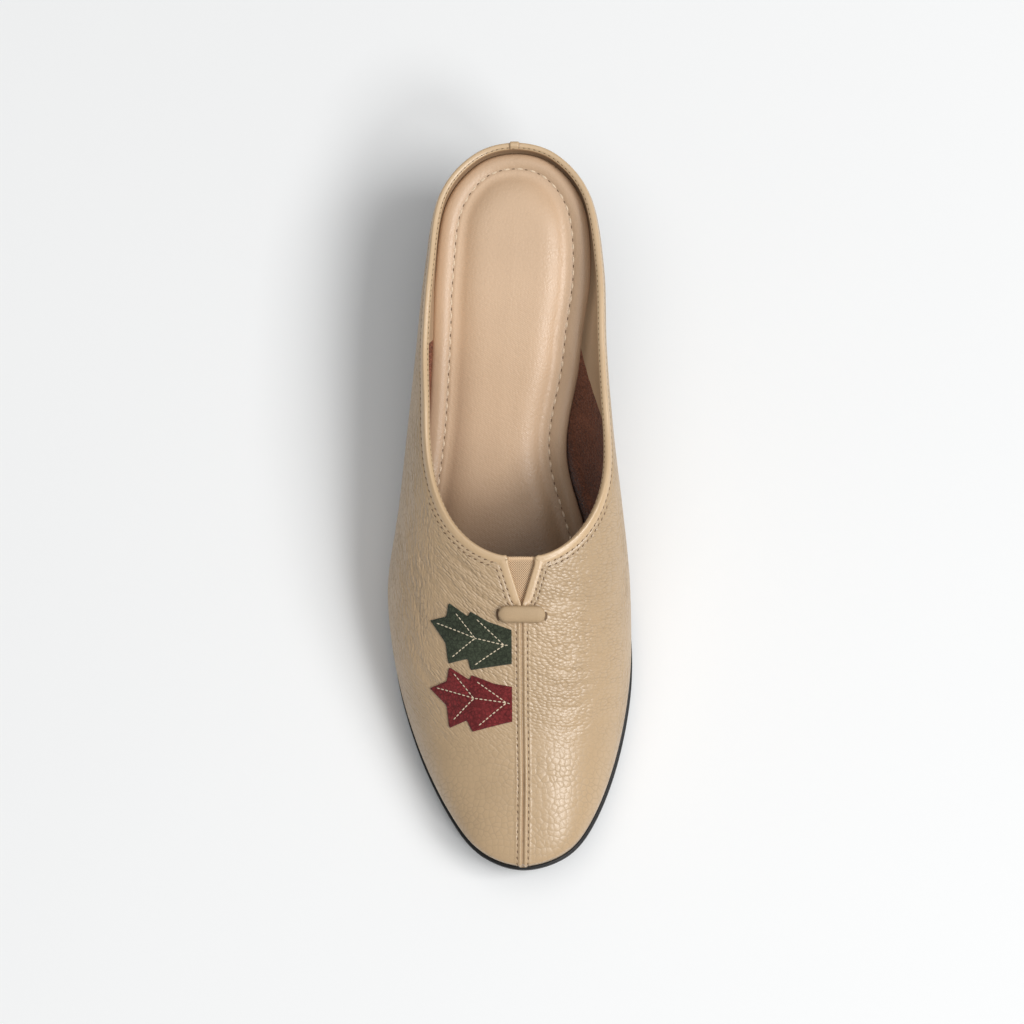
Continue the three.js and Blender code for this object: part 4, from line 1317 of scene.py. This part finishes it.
def upper_grid():
    """Points of the upper as one closed skin: outer face, rolled rim, collar strip, lining and the margin
    tucked under the insole, with the material of each face and the values that its materials read."""
    wall = upper_wall()
    face = outer_face(wall)
    strip, lining, tuck = inner_face(wall)
    rim, topstitch = rolled_rim(wall, face, strip)
    points = np.concatenate([face.points, rim, strip, lining, tuck, face.points[:, :1]], axis=1)
    outer_rows = face.points.shape[1]
    strip_from = outer_rows + CAP_ROWS
    strip_to = strip_from + STRIP_ROWS

    values = {}
    for name, on_face in outer_finish(face).items():
        values[name] = np.full(points.shape[:2], GRAIN_ON_RIM if name == "grain" else 0.0)
        values[name][:, :outer_rows] = on_face
    # Painted shade in the rim's sunk stitch row and back join, and at the foot of the collar strip where it
    # meets the insole
    over_padding = strip[..., 2] - bed(strip[..., 1]) - heel_pad(strip[..., 1])
    values["groove"][:, outer_rows:strip_from] = np.clip(topstitch + face.back_join[:, -1:], 0, 1)
    values["groove"][:, strip_from:strip_to] = 1 - smoothstep(over_padding, *STRIP_SHADE)

    closed_face = ~wall.is_open & ~np.roll(wall.is_open, -1)
    material_of = np.zeros(points.shape[:2], dtype=int)
    material_of[:, strip_from:strip_to - 1] = np.where(closed_face, 2, 1)[:, None]
    material_of[:, strip_to - 1:-1] = 2
    left_out = np.zeros(points.shape[:2], dtype=bool)
    left_out[:, outer_rows - 1:strip_from] = closed_face[:, None]
    ring = np.concatenate([points, points[:1]])
    looped = {name: np.concatenate([value, value[:1]]) for name, value in values.items()}
    return ring, looped, material_of, left_out


def strip_depth(wall):
    """How far the collar strip reaches down inside each of the wall's columns: to the insole at the heel,
    then slanting up to the wall's fullest line and the rim at the waist. Its rows stand further apart inside
    the toe, where the columns run close together."""
    along = wall_along(wall)
    on_lateral = np.arange(len(along)) <= wall.heel

    def of_side(values):
        return np.where(on_lateral, values["lateral"], values["medial"])

    full_to = of_side(STRIP_FULL_TO)
    up_at = of_side(STRIP_UP_AT)
    slant = np.clip((along - full_to) / (up_at - full_to), 0, 1)
    leaving = np.clip((along - up_at) / (of_side(STRIP_GONE_AT) - up_at), 0, 1)
    depth = lerp(lerp(STRIP_FULL_SHARE, STRIP_UP_SHARE, slant) * wall.lengths, STRIP_LEAST, leaving)
    uneven = STRIP_UNEVEN * np.sin(1.9 * along) * np.sin(0.73 * along + 1) * np.sin(math.pi * slant)
    return depth + uneven + STRIP_IN_TOE * smoothstep(wall_ridge(wall), *STRIP_TOE_ALONG)


def wall_ridge(wall):
    """Where each of the wall's columns meets the ridge line, along the shoe."""
    return wall.points[:, -1, 1]


def wall_along(wall):
    """Where the foot of each of the wall's columns stands, along the shoe."""
    return wall.points[:, 0, 1]


def heel_pad(along):
    """Height that the heel padding adds to the insole."""
    return INSOLE_HEEL_PAD * (1 - smoothstep(along, HEEL_PAD_FULL, HEEL_PAD_END))


def insole_edge(side, stations, heights):
    """Plan points of the insole's edge beside the upper's inner face at heights over the sole."""
    profiles, _ = wall_profiles(side, stations)
    along = section("along", stations, "along")
    plan = np.empty((len(stations), 2))
    for i, profile in enumerate(profiles[:, :RISING_STEPS]):
        for axis in range(2):
            plan[i, axis] = np.interp(profile[0, 2] + heights[i], profile[:, 2], profile[:, axis])
    at_waist = smoothstep(along, *INSOLE_WAIST_BACK) * (1 - smoothstep(along, *INSOLE_WAIST_FRONT))
    inset = WALL + INSOLE_CLEARANCE + INSOLE_LEAN * heights + INSOLE_WAIST_INSET[side] * at_waist
    return plan + unit(middle_line(stations) - plan) * inset[:, None]


def insole_columns(side, stations):
    """Columns of the insole from the middle of its underside round its edge to the middle of its cover."""
    middle = middle_line(stations)
    along = section("along", stations, "along")
    foot = insole_edge(side, stations, np.full(len(stations), INSOLE_FOOT))
    rim = insole_edge(side, stations, INSOLE_COVER[0, 1] + heel_pad(along))
    inward = (middle - rim) / np.linalg.norm(rim - middle, axis=1)[:, None]
    inner_end = INSOLE_COVER[-1, 0]
    inwards = np.concatenate([np.linspace(0, 2, 7)[:-1], np.linspace(2, inner_end, 40)])
    cover = curve_through(INSOLE_COVER, 1, inwards)
    at_back = lerp(INSOLE_BACK_SHARE, 1, smoothstep(along, 4, 26))
    rows = []
    for share in (1, 0.4, 0):
        plan = lerp(foot, middle, share)
        rows.append((plan, bed(plan[:, 1]) + INSOLE_LIFT, 0))
    for distance, height in zip(inwards, cover):
        moved = distance * lerp(1, at_back, 1 - smoothstep(distance, 6, 17))
        plan = rim + inward * moved[:, None]
        # Painted shade in the sewn valley, and a lighter painted shade over the margin outside it
        groove = max(hump(distance - INSOLE_VALLEY, 0.8), INSOLE_MARGIN_SHADE * (distance < INSOLE_VALLEY))
        rows.append((plan, bed(plan[:, 1]) + heel_pad(plan[:, 1]) + height, groove))
    for share in np.linspace(0, 1, 12)[1:]:
        plan = lerp(rim + inward * inner_end, middle, share)
        height = lerp(cover[-1], INSOLE_CENTRE_HEIGHT, share)
        rows.append((plan, bed(plan[:, 1]) + heel_pad(plan[:, 1]) + height, 0))
    points = stacked([row[:2] for row in rows])
    groove = np.broadcast_to([row[2] for row in rows], points.shape[:2])
    return points, groove


def stacked(rows):
    """Rows of plan points and their heights as points [column, row, 3]."""
    return np.stack([np.concatenate([plan, up[:, None]], axis=1) for plan, up in rows], axis=1)


def closed_ring(lateral, medial):
    """Both sides' columns with the first one repeated at the end, so that the grid joins into a ring."""
    ring = round_the_shoe(lateral, medial)
    return np.concatenate([ring, ring[:1]])


def even_stations(per_section):
    return np.linspace(0, LAST_STATION, LAST_STATION * per_section + 1)


def vamp_grid(sides, alongs):
    """Points of the closed last over the vamp at level distances from the seam, and their normals."""
    points = np.empty((*sides.shape, 3))
    for row in range(sides.shape[1]):
        station = np.atleast_1d(station_at("ridge", alongs[0, row]))
        for side, sign in (("lateral", -1), ("medial", 1)):
            profile = wall_profiles(side, station)[0][0][::-1]
            reach = np.linalg.norm(profile[:, :2] - profile[0, :2], axis=-1)
            chosen = sides[:, row] * sign >= 0
            for axis in range(3):
                points[chosen, row, axis] = np.interp(abs(sides[chosen, row]), reach, profile[:, axis])
    normals = unit(np.cross(np.gradient(points, axis=1), np.gradient(points, axis=0)))
    normals[normals[..., 2] < 0] *= -1
    return points, normals


def softened(values):
    """Values with their corners rounded a little, the ends kept."""
    for _ in range(3):
        inner = (values[:-2] + 2 * values[1:-1] + values[2:]) / 4
        values = np.concatenate([values[:1], inner, values[-1:]])
    return values


def leaf_points(tree, leaf):
    """Points of one leaf lying on the upper: its top with sunk veins, its underside and its seam end."""
    back = np.array(leaf["back"])[::-1]
    front = np.array(leaf["front"])[::-1]
    sides = np.linspace(back[0, 0], back[-1, 0], LEAF_COLUMNS)
    low = softened(np.interp(sides, back[:, 0], back[:, 1]))
    high = softened(np.interp(sides, front[:, 0], front[:, 1]))
    alongs = lerp(low[:, None], high[:, None], np.linspace(0, 1, LEAF_ROWS))
    plan = np.stack([np.broadcast_to(sides[:, None], alongs.shape), alongs], axis=-1)
    outline = np.concatenate([np.stack([sides, low], axis=1), np.stack([sides, high], axis=1)[::-1]])
    ground, normals = dropped_on(tree, plan[..., 0], plan[..., 1])
    away = np.stack([normals[..., 0], -normals[..., 1], normals[..., 2]], axis=-1)
    flat = np.concatenate([plan, np.zeros((*alongs.shape, 1))], axis=-1)
    from_outline = distance_to(np.pad(outline, ((0, 0), (0, 1))), flat, LINE_SPACING)
    rounding = np.sqrt(1 - (1 - np.clip(from_outline / LEAF_ROUND, 0, 1)) ** 2)
    puff = LEAF_THICKNESS * lerp(LEAF_EDGE_SHARE, 1, rounding)
    for vein in leaf["veins"]:
        line = np.pad(np.array(vein), ((0, 0), (0, 1)))
        puff -= VEIN_SINK * hump(distance_to(line, flat, LINE_SPACING), VEIN_WIDTH) * rounding
    top = ground + away * np.maximum(puff, LEAF_LEAST)[..., None]
    under = ground + away * LEAF_LIFT
    skin = np.concatenate([top, under[:, ::-1], top[:, :1]], axis=1)
    seam_end = np.concatenate([under[-1:], under[-1:, ::-1], under[-1:, :1]], axis=1)
    return np.concatenate([skin, seam_end])


def loop_points(tree):
    """Points of the leather loop across the foot of the notch: a flat bar with rounded edges and corners."""
    seam = ridge_side(np.array([LOOP_ALONG]))[0]
    half = LOOP_LENGTH / 2
    across = half * np.sin(np.linspace(-math.pi / 2, math.pi / 2, LOOP_COLUMNS))
    corner = np.clip((abs(across) - half + LOOP_CORNER) / LOOP_CORNER, 0, 1)
    width = LOOP_WIDTH / 2 - LOOP_CORNER * (1 - np.sqrt(1 - corner**2))
    width = np.concatenate([[0], width, [0]])
    across = np.concatenate([across[:1], across, across[-1:]])
    corner = np.concatenate([[1], corner, [1]])
    around = np.linspace(0, 2 * math.pi, LOOP_ROWS)
    side_step = np.sign(np.cos(around)) * abs(np.cos(around)) ** LOOP_SQUARENESS
    rise = np.sign(np.sin(around)) * abs(np.sin(around)) ** LOOP_SQUARENESS
    rise = np.where(rise > 0, rise, LOOP_UNDER_SHARE * rise)
    ground, _ = dropped_on(tree, seam + across, np.full(len(across), LOOP_ALONG))
    smooth = np.polyval(np.polyfit(across, ground[:, 2], 2), across)
    rounded = lerp(LOOP_END_SHARE, 1, np.sqrt(1 - corner**2))
    thick = LOOP_THICKNESS * np.where(width > 0, rounded, 0)
    sides = np.broadcast_to((seam + across)[:, None], (len(across), len(around)))
    alongs = LOOP_ALONG + width[:, None] * side_step
    slope = (ridge_height(alongs) - ridge_height(np.array([LOOP_ALONG]))) * LOOP_SLOPE_SHARE
    heights = smooth[:, None] + slope + LOOP_LIFT + thick[:, None] * rise
    return np.stack([sides, alongs, heights], axis=-1)


def sole_columns(side, stations):
    """Columns of the outsole from the middle of its underside round its edge to the middle of its top, and
    where it wears."""
    middle = middle_line(stations)
    edge = sole_edge(side, stations)
    wave = np.clip(np.cos(middle[:, 1] * 2 * math.pi / TREAD_PITCH) - 0.3, 0, 0.4) / 0.4
    rows = []
    wear = []
    for share in np.linspace(1, 0, SOLE_ROWS):
        plan = lerp(sole_edge(side, stations, SOLE_ROUND), middle, share)
        along = plan[:, 1]
        on_tread = smoothstep(along, *TREAD_SETS_IN) * (1 - smoothstep(along, *TREAD_ENDS))
        inner = smoothstep(np.linalg.norm(plan - edge, axis=1), *TREAD_MARGIN)
        rows.append((plan, underside(along) + TREAD_DEPTH * wave * on_tread * inner))
        wear.append(on_tread)
    height = bed(edge[:, 1]) - underside(edge[:, 1]) - SOLE_GAP
    trim = SOLE_TRIM * smoothstep(edge[:, 1], WELT_START, WELT_FULL)
    for inset, up in SOLE_EDGE_SHAPE:
        plan = sole_edge(side, stations, inset + trim)
        rows.append((plan, underside(plan[:, 1]) + height * up))
        wear.append(np.full(len(stations), 0.5 * (up < 0.3)))
    top_edge = sole_edge(side, stations, SOLE_EDGE_SHAPE[-1][0])
    for share in (0.1, 0.3, 0.6, 1):
        plan = lerp(top_edge, middle, share)
        rows.append((plan, bed(plan[:, 1]) - SOLE_GAP))
        wear.append(np.zeros(len(stations)))
    return stacked(rows), np.stack(wear, axis=1)


def heel_outline():
    """Closed plan outline of the block heel: round the sole's back edge and along the hollow breast."""
    stations = np.linspace(station_at("along", HEEL_BREAST), LAST_STATION, 70)
    lateral = sole_edge("lateral", stations, HEEL_INSET)
    medial = sole_edge("medial", stations, HEEL_INSET)
    sides = np.concatenate([lateral, medial[-2::-1]])
    share = np.linspace(0, 1, 36)[:, None]
    breast = lerp(sides[-1], sides[0], share)
    breast[:, 1] = HEEL_BREAST - HEEL_BREAST_HOLLOW * (4 * share * (1 - share))[:, 0]
    ring = np.concatenate([sides[:-1], breast])[:-1]
    for _ in range(2):
        ring = (np.roll(ring, 1, axis=0) + 2 * ring + np.roll(ring, -1, axis=0)) / 4
    return np.concatenate([ring, ring[:1]])


def heel_points():
    """Columns of the block heel, from the middle of its foot round its sides to the middle of its top, with
    a top lift parted from the block by a fine groove, and where it wears."""
    centre = np.array([ridge_side(np.array([SEAT_FRONT]))[0], HEEL_CENTRE])
    outline = heel_outline()
    reach = np.linalg.norm(outline - centre, axis=1)
    level = np.ones(len(outline))
    rows = []
    wear = []
    for inner in np.concatenate([np.linspace(0, 0.66, 6), np.linspace(0.7, 1, 31)]):
        plan = lerp(centre, outline, (HEEL_TAPER - HEEL_FOOT_ROUND / reach)[:, None] * inner)
        groove = sum(hump(inner - ring, HEEL_GROOVE_WIDTH) for ring in HEEL_GROOVES)
        rows.append((plan, HEEL_GROOVE_DEPTH * groove * level))
        wear.append(level)
    for inset, height in HEEL_LIFT_SHAPE:
        rows.append((lerp(centre, outline, (HEEL_TAPER - inset / reach)[:, None]), height * level))
        wear.append((1 if height < 2 else 0.2) * level)
    roof = underside(outline[:, 1]) - SOLE_GAP
    for share in np.linspace(0.05, 1, 24):
        plan = lerp(centre, outline, lerp(HEEL_TAPER, 1, share))
        rows.append((plan, lerp(HEEL_LIFT_SHAPE[-1][1], roof, share)))
        wear.append(0 * level)
    for inner in (0.97, 0.6, 0):
        plan = lerp(centre, outline, inner)
        rows.append((plan, underside(plan[:, 1]) - SOLE_GAP))
        wear.append(0 * level)
    return stacked(rows), np.stack(wear, axis=1)


def shoe_settings(context):
    return context.scene.mule_sizes, context.scene.mule_colours


class MULE_OT_upper(Operator):
    """Build the leather upper with its rolled rim, collar strip and lining"""

    bl_idname = "mule.upper"
    bl_label = "Upper"

    def execute(self, context):
        sizes, colours = shoe_settings(context)
        points, values, material_of, left_out = upper_grid()
        bm = grid_through(points, values, material_of, left_out)
        materials = (
            leather_material(colours, sizes),
            smooth_leather_material("collar_strip_leather", colours.strip, colours, sizes),
            suede_material("lining_suede", colours.lining, fibre=0.75 * MM, sheen=0.25, crack=0.95 * MM),
        )
        make_piece("upper_leather", bm, materials, "upper")
        return {"FINISHED"}


class MULE_OT_insole(Operator):
    """Build the padded insole with its sewn valley"""

    bl_idname = "mule.insole"
    bl_label = "Insole"

    def execute(self, context):
        _, colours = shoe_settings(context)
        stations = even_stations(INSOLE_COLUMNS)
        lateral, lateral_groove = insole_columns("lateral", stations)
        medial, medial_groove = insole_columns("medial", stations)
        values = {"groove": closed_ring(lateral_groove, medial_groove)}
        bm = grid_through(closed_ring(lateral, medial), values)
        piece = make_piece("insole_cover", bm, [insole_material(colours)], "insole")
        return {"FINISHED"}


class MULE_OT_trim(Operator):
    """Build the elastic in the notch, the loop over its foot and the two leaves"""

    bl_idname = "mule.trim"
    bl_label = "Elastic, loop and leaves"

    def execute(self, context):
        sizes, colours = shoe_settings(context)
        self.elastic(colours)
        upper = surface_of("upper_leather")
        bm = grid_through(loop_points(upper))
        loop_leather = smooth_leather_material("loop_leather", colours.leather, colours, sizes)
        make_piece("loop_bar", bm, [loop_leather], "vamp_loop")
        for name, leaf in LEAVES.items():
            bm = grid_through(leaf_points(upper, leaf))
            colour = getattr(colours, name)
            suede = suede_material(f"{name}_suede", colour, fibre=0.9 * MM, sheen=0.15, crack=1.4 * MM)
            make_piece(f"{name}_suede", bm, [suede], name)
        return {"FINISHED"}

    def elastic(self, colours):
        """A woven wedge behind the notch, with a raised hem along its back edge."""
        share = np.linspace(0, 1, GORE_STEPS)
        square = (GORE_STEPS, GORE_STEPS)
        alongs = np.broadcast_to(THROAT_FRONT - GORE_BACK + (NOTCH_LENGTH + GORE_FRONT) * share, square)
        half = NOTCH_WIDTH / 2 * (1 - share) + GORE_OVERLAP
        sides = np.linspace(-1, 1, GORE_STEPS)[:, None] * half
        points, normals = vamp_grid(sides, alongs)
        hem = np.broadcast_to(hump(alongs[0] - alongs[0, 0] - HEM_AT, HEM_WIDTH), square)
        depth = NOTCH_RIM_DEPTH + GORE_CLEARANCE
        top = points - normals * (depth - HEM_RISE * hem)[..., None]
        under = points - normals * (depth + GORE_THICKNESS)

        def on_both(upper, lower):
            return np.concatenate([upper, lower[:, ::-1], upper[:, :1]], axis=1)

        values = {"across": on_both(sides, sides), "along": on_both(alongs, alongs), "hem": on_both(hem, hem)}
        bm = grid_through(on_both(top, under), values)
        bmesh.ops.holes_fill(bm, edges=[edge for edge in bm.edges if edge.is_boundary])
        bmesh.ops.recalc_face_normals(bm, faces=bm.faces)
        make_piece("elastic_weave", bm, [elastic_material(colours)], "elastic_gore")


class MULE_OT_sole(Operator):
    """Build the outsole and the block heel"""

    bl_idname = "mule.sole"
    bl_label = "Sole and heel"

    def execute(self, context):
        _, colours = shoe_settings(context)
        stations = even_stations(SOLE_COLUMNS)
        lateral, lateral_wear = sole_columns("lateral", stations)
        medial, medial_wear = sole_columns("medial", stations)
        values = {"wear": closed_ring(lateral_wear, medial_wear)}
        bm = grid_through(closed_ring(lateral, medial), values)
        make_piece("sole_rubber", bm, [rubber_material(colours)], "outsole")
        points, wear = heel_points()
        bm = grid_through(points, {"wear": wear})
        make_piece("heel_cover", bm, [heel_material(colours)], "heel_block")
        return {"FINISHED"}


class MULE_OT_stitching(Operator):
    """Sew the collar, notch, centre seam, insole and leaf veins"""

    bl_idname = "mule.stitching"
    bl_label = "Stitching"

    def execute(self, context):
        sizes, colours = shoe_settings(context)
        holes = bmesh.new()
        seams = self.sew_upper(holes, sizes)
        make_piece("upper_stitches", seams, [thread_material("upper_thread", colours.thread)])
        row = self.sew_insole(holes, sizes)
        insole_thread = thread_material("insole_thread", colours.insole_thread)
        make_piece("insole_stitches", row, [insole_thread])
        veins = self.sew_veins(sizes)
        vein_thread = thread_material("vein_thread", colours.vein_thread)
        make_piece("vein_stitches", veins, [vein_thread])
        # Dark slots that stand in for the shade in the needle holes and the slit's ends
        dark = thread_material("needle_holes", colours.needle_hole)
        make_piece("needle_holes", holes, [dark])
        return {"FINISHED"}

    def sew_upper(self, holes, sizes):
        """Rows along the opening, beside the centre seam and on the rim, and the slit's ends by the loop."""
        upper = surface_of("upper_leather")
        pitch = sizes.stitch_pitch / MM
        size = (sizes.stitch, *(sizes.thread * share for share in STITCH_SHAPE))
        slot_length = sizes.stitch_pitch - SLOT_CLEAR * sizes.stitch
        slot = (slot_length, *(sizes.thread * share for share in SLOT_SHAPE))
        seams = bmesh.new()
        for distance, front_only in ((SEWN_ROW, False), (SECOND_ROW, True)):
            for line in self.rows_beside_edge(distance, front_only):
                sew(seams, holes, upper, line, pitch, size, slot, EDGE_SLANT, sink=EDGE_SINK)
        for side, slant in SEAM_SLANTS.items():
            line = self.row_beside_seam(side * SEAM_ROW)
            sew(seams, holes, upper, line, pitch, size, slot, slant, sink=SEAM_SINK)
        for side in SEAM_SLANTS:
            self.slit(holes, upper, side)
        fine = tuple(length * share for length, share in zip(size, RIM_STITCH_SHARES))
        fine_slot = tuple(length * RIM_SLOT_SHARE for length in slot)
        sew(seams, holes, upper, self.rim_row(), pitch * RIM_PITCH_SHARE, fine, fine_slot)
        return seams

    def sew_insole(self, holes, sizes):
        """One row of thick thread round the insole's valley."""
        insole = surface_of("insole_cover")
        thick = sizes.thread * INSOLE_THREAD_SHARE
        size = (sizes.insole_stitch, thick, thick * 0.7)
        slot = (INSOLE_SLOT, thick * 0.65, thick * 0.4)
        row = bmesh.new()
        sew(row, holes, insole, self.insole_row(), sizes.insole_pitch / MM, size, slot)
        return row

    def sew_veins(self, sizes):
        """Close stitches along the leaves' veins."""
        size = (VEIN_STITCH, *(sizes.thread * share for share in STITCH_SHAPE))
        veins = bmesh.new()
        for name, leaf in LEAVES.items():
            surface = surface_of(f"{name}_suede")
            for vein in leaf["veins"]:
                plan = spread(np.array(vein), 0.5)
                points, _ = dropped_on(surface, plan[:, 0], plan[:, 1])
                sew(veins, None, surface, points, VEIN_PITCH, size)
        return veins

    def rows_beside_edge(self, distance, front_only):
        """Lines on the upper at a distance from its edge, parted where the edge turns a corner."""
        edge = opening_edge()
        line = edge.points - edge.outward * distance
        gap = distance_to(edge.points, line)
        keep = gap > 0.9 * distance
        if front_only:
            keep &= line[:, 1] > SECOND_ROW_END
        runs = np.split(np.arange(len(line)), np.flatnonzero(np.diff(keep.astype(int))) + 1)
        return [line[run] for run in runs if keep[run[0]] and len(run) > 4]

    def slit(self, holes, surface, side):
        """Dark slot that stands in for the shade in the end of the slit that the loop passes through, just
        beyond the loop.
        """
        across = ridge_side(np.array([LOOP_ALONG])) + side * (LOOP_LENGTH / 2 + SLIT_BEYOND)
        points, normals = dropped_on(surface, across, np.array([LOOP_ALONG]))
        towards_toe = Vector((0, -1, 0))
        add_stitch(holes, Vector(to_frame(points)[0]), towards_toe, Vector(normals[0]), SLIT)

    def row_beside_seam(self, offset):
        """Line on the vamp beside its centre seam, down to the sole."""
        seam = seam_line()
        start = np.flatnonzero(seam[:, 1] > LOOP_ALONG + LOOP_WIDTH / 2 + 0.3)[0]
        line = seam[start:].copy()
        line[:, 0] += offset
        return line[line[:, 2] > bed(line[:, 1]) + SEAM_ROW_END]

    def rim_row(self):
        """Fine row on the inner side of the rolled rim."""
        edge = opening_edge()
        inward = edge.normals * (RIM_DEPTH * (1 - math.cos(RIM_STITCH_TURN)) / 2)
        line = edge.points - inward + edge.outward * (RIM_WIDTH * math.sin(RIM_STITCH_TURN))
        return line[edge.points[:, 1] < RIM_ROW_END]

    def insole_row(self):
        """Line along the insole's sewn valley, open under the vamp at the toe."""
        stations = even_stations(INSOLE_COLUMNS)
        columns = {}
        for side in OTHER_SIDE:
            points, groove = insole_columns(side, stations)
            columns[side] = points[np.arange(len(points)), groove.argmax(axis=1)]
        ring = round_the_shoe(columns["lateral"], columns["medial"])
        return ring[ring[:, 1] < INSOLE_ROW_END]


class MULE_OT_stage(Operator):
    """Set the pale floor, the soft studio lights and the camera"""

    bl_idname = "mule.stage"
    bl_label = "Stage"

    def execute(self, context):
        _, colours = shoe_settings(context)
        bm = bmesh.new()
        bmesh.ops.create_circle(bm, cap_ends=True, segments=96, radius=FLOOR_RADIUS)
        mesh = bpy.data.meshes.new("floor")
        bm.to_mesh(mesh)
        bm.free()
        mesh.materials.append(floor_material(colours))
        floor = bpy.data.objects.new("floor", mesh)
        context.scene.collection.objects.link(floor)
        for name, (place, aim, size, power) in LIGHTS.items():
            self.light(context, name, place, aim, size, power)
        world = bpy.data.worlds.new("studio")
        world.use_nodes = True
        background = world.node_tree.nodes["Background"]
        background.inputs["Color"].default_value = (1, 1, 1, 1)
        background.inputs["Strength"].default_value = WORLD_LIGHT
        context.scene.world = world
        context.scene.view_settings.view_transform = "Standard"
        self.camera(context)
        return {"FINISHED"}

    def light(self, context, name, place, aim, size, power):
        lamp = bpy.data.lights.new(name, "AREA")
        lamp.size = size
        lamp.energy = power
        rig = bpy.data.objects.new(name, lamp)
        rig.location = place
        rig.rotation_euler = (Vector(aim) - Vector(place)).to_track_quat("-Z", "Y").to_euler()
        context.scene.collection.objects.link(rig)

    def camera(self, context):
        """A long lens nearly above, a little before the toe and to the inner side, turned to the shoe."""
        aim = Vector(CAMERA_AIM)
        before = CAMERA_DISTANCE * math.cos(CAMERA_ELEVATION)
        above = CAMERA_DISTANCE * math.sin(CAMERA_ELEVATION)
        place = Vector((CAMERA_BESIDE, aim.y - before, aim.z + above))
        forward = (aim - place).normalized()
        right = (Vector((1, 0, 0)) - forward * forward.x).normalized()
        up = right.cross(forward)
        lens = bpy.data.cameras.new("camera")
        lens.lens = CAMERA_LENS
        lens.sensor_width = 36
        lens.clip_start = 0.01
        camera = bpy.data.objects.new("camera", lens)
        camera.matrix_world = Matrix.Translation(place) @ Matrix((right, up, -forward)).transposed().to_4x4()
        context.scene.collection.objects.link(camera)
        context.scene.camera = camera


OPERATORS = (
    MULE_OT_upper, MULE_OT_insole, MULE_OT_trim, MULE_OT_sole, MULE_OT_stitching, MULE_OT_stage,
)


class MULE_PT_panel(Panel):
    """Lists the shoe's pieces in the sidebar"""

    bl_idname = "MULE_PT_panel"
    bl_label = "Block heel mule"
    bl_space_type = "VIEW_3D"
    bl_region_type = "UI"
    bl_category = "Mule"

    def draw(self, context):
        for operator in OPERATORS:
            self.layout.operator(operator.bl_idname)
        for group in (context.scene.mule_sizes, context.scene.mule_colours):
            for name in group.__annotations__:
                self.layout.prop(group, name)


CLASSES = (MuleSizes, MuleColours, *OPERATORS, MULE_PT_panel)


def register():
    for each in CLASSES:
        bpy.utils.register_class(each)
    bpy.types.Scene.mule_sizes = PointerProperty(type=MuleSizes)
    bpy.types.Scene.mule_colours = PointerProperty(type=MuleColours)


def unregister():
    del bpy.types.Scene.mule_colours
    del bpy.types.Scene.mule_sizes
    for each in reversed(CLASSES):
        bpy.utils.unregister_class(each)


def main():
    register()
    bpy.ops.mule.upper()
    bpy.ops.mule.insole()
    bpy.ops.mule.trim()
    bpy.ops.mule.sole()
    bpy.ops.mule.stitching()
    bpy.ops.mule.stage()


if __name__ == "__main__":
    main()
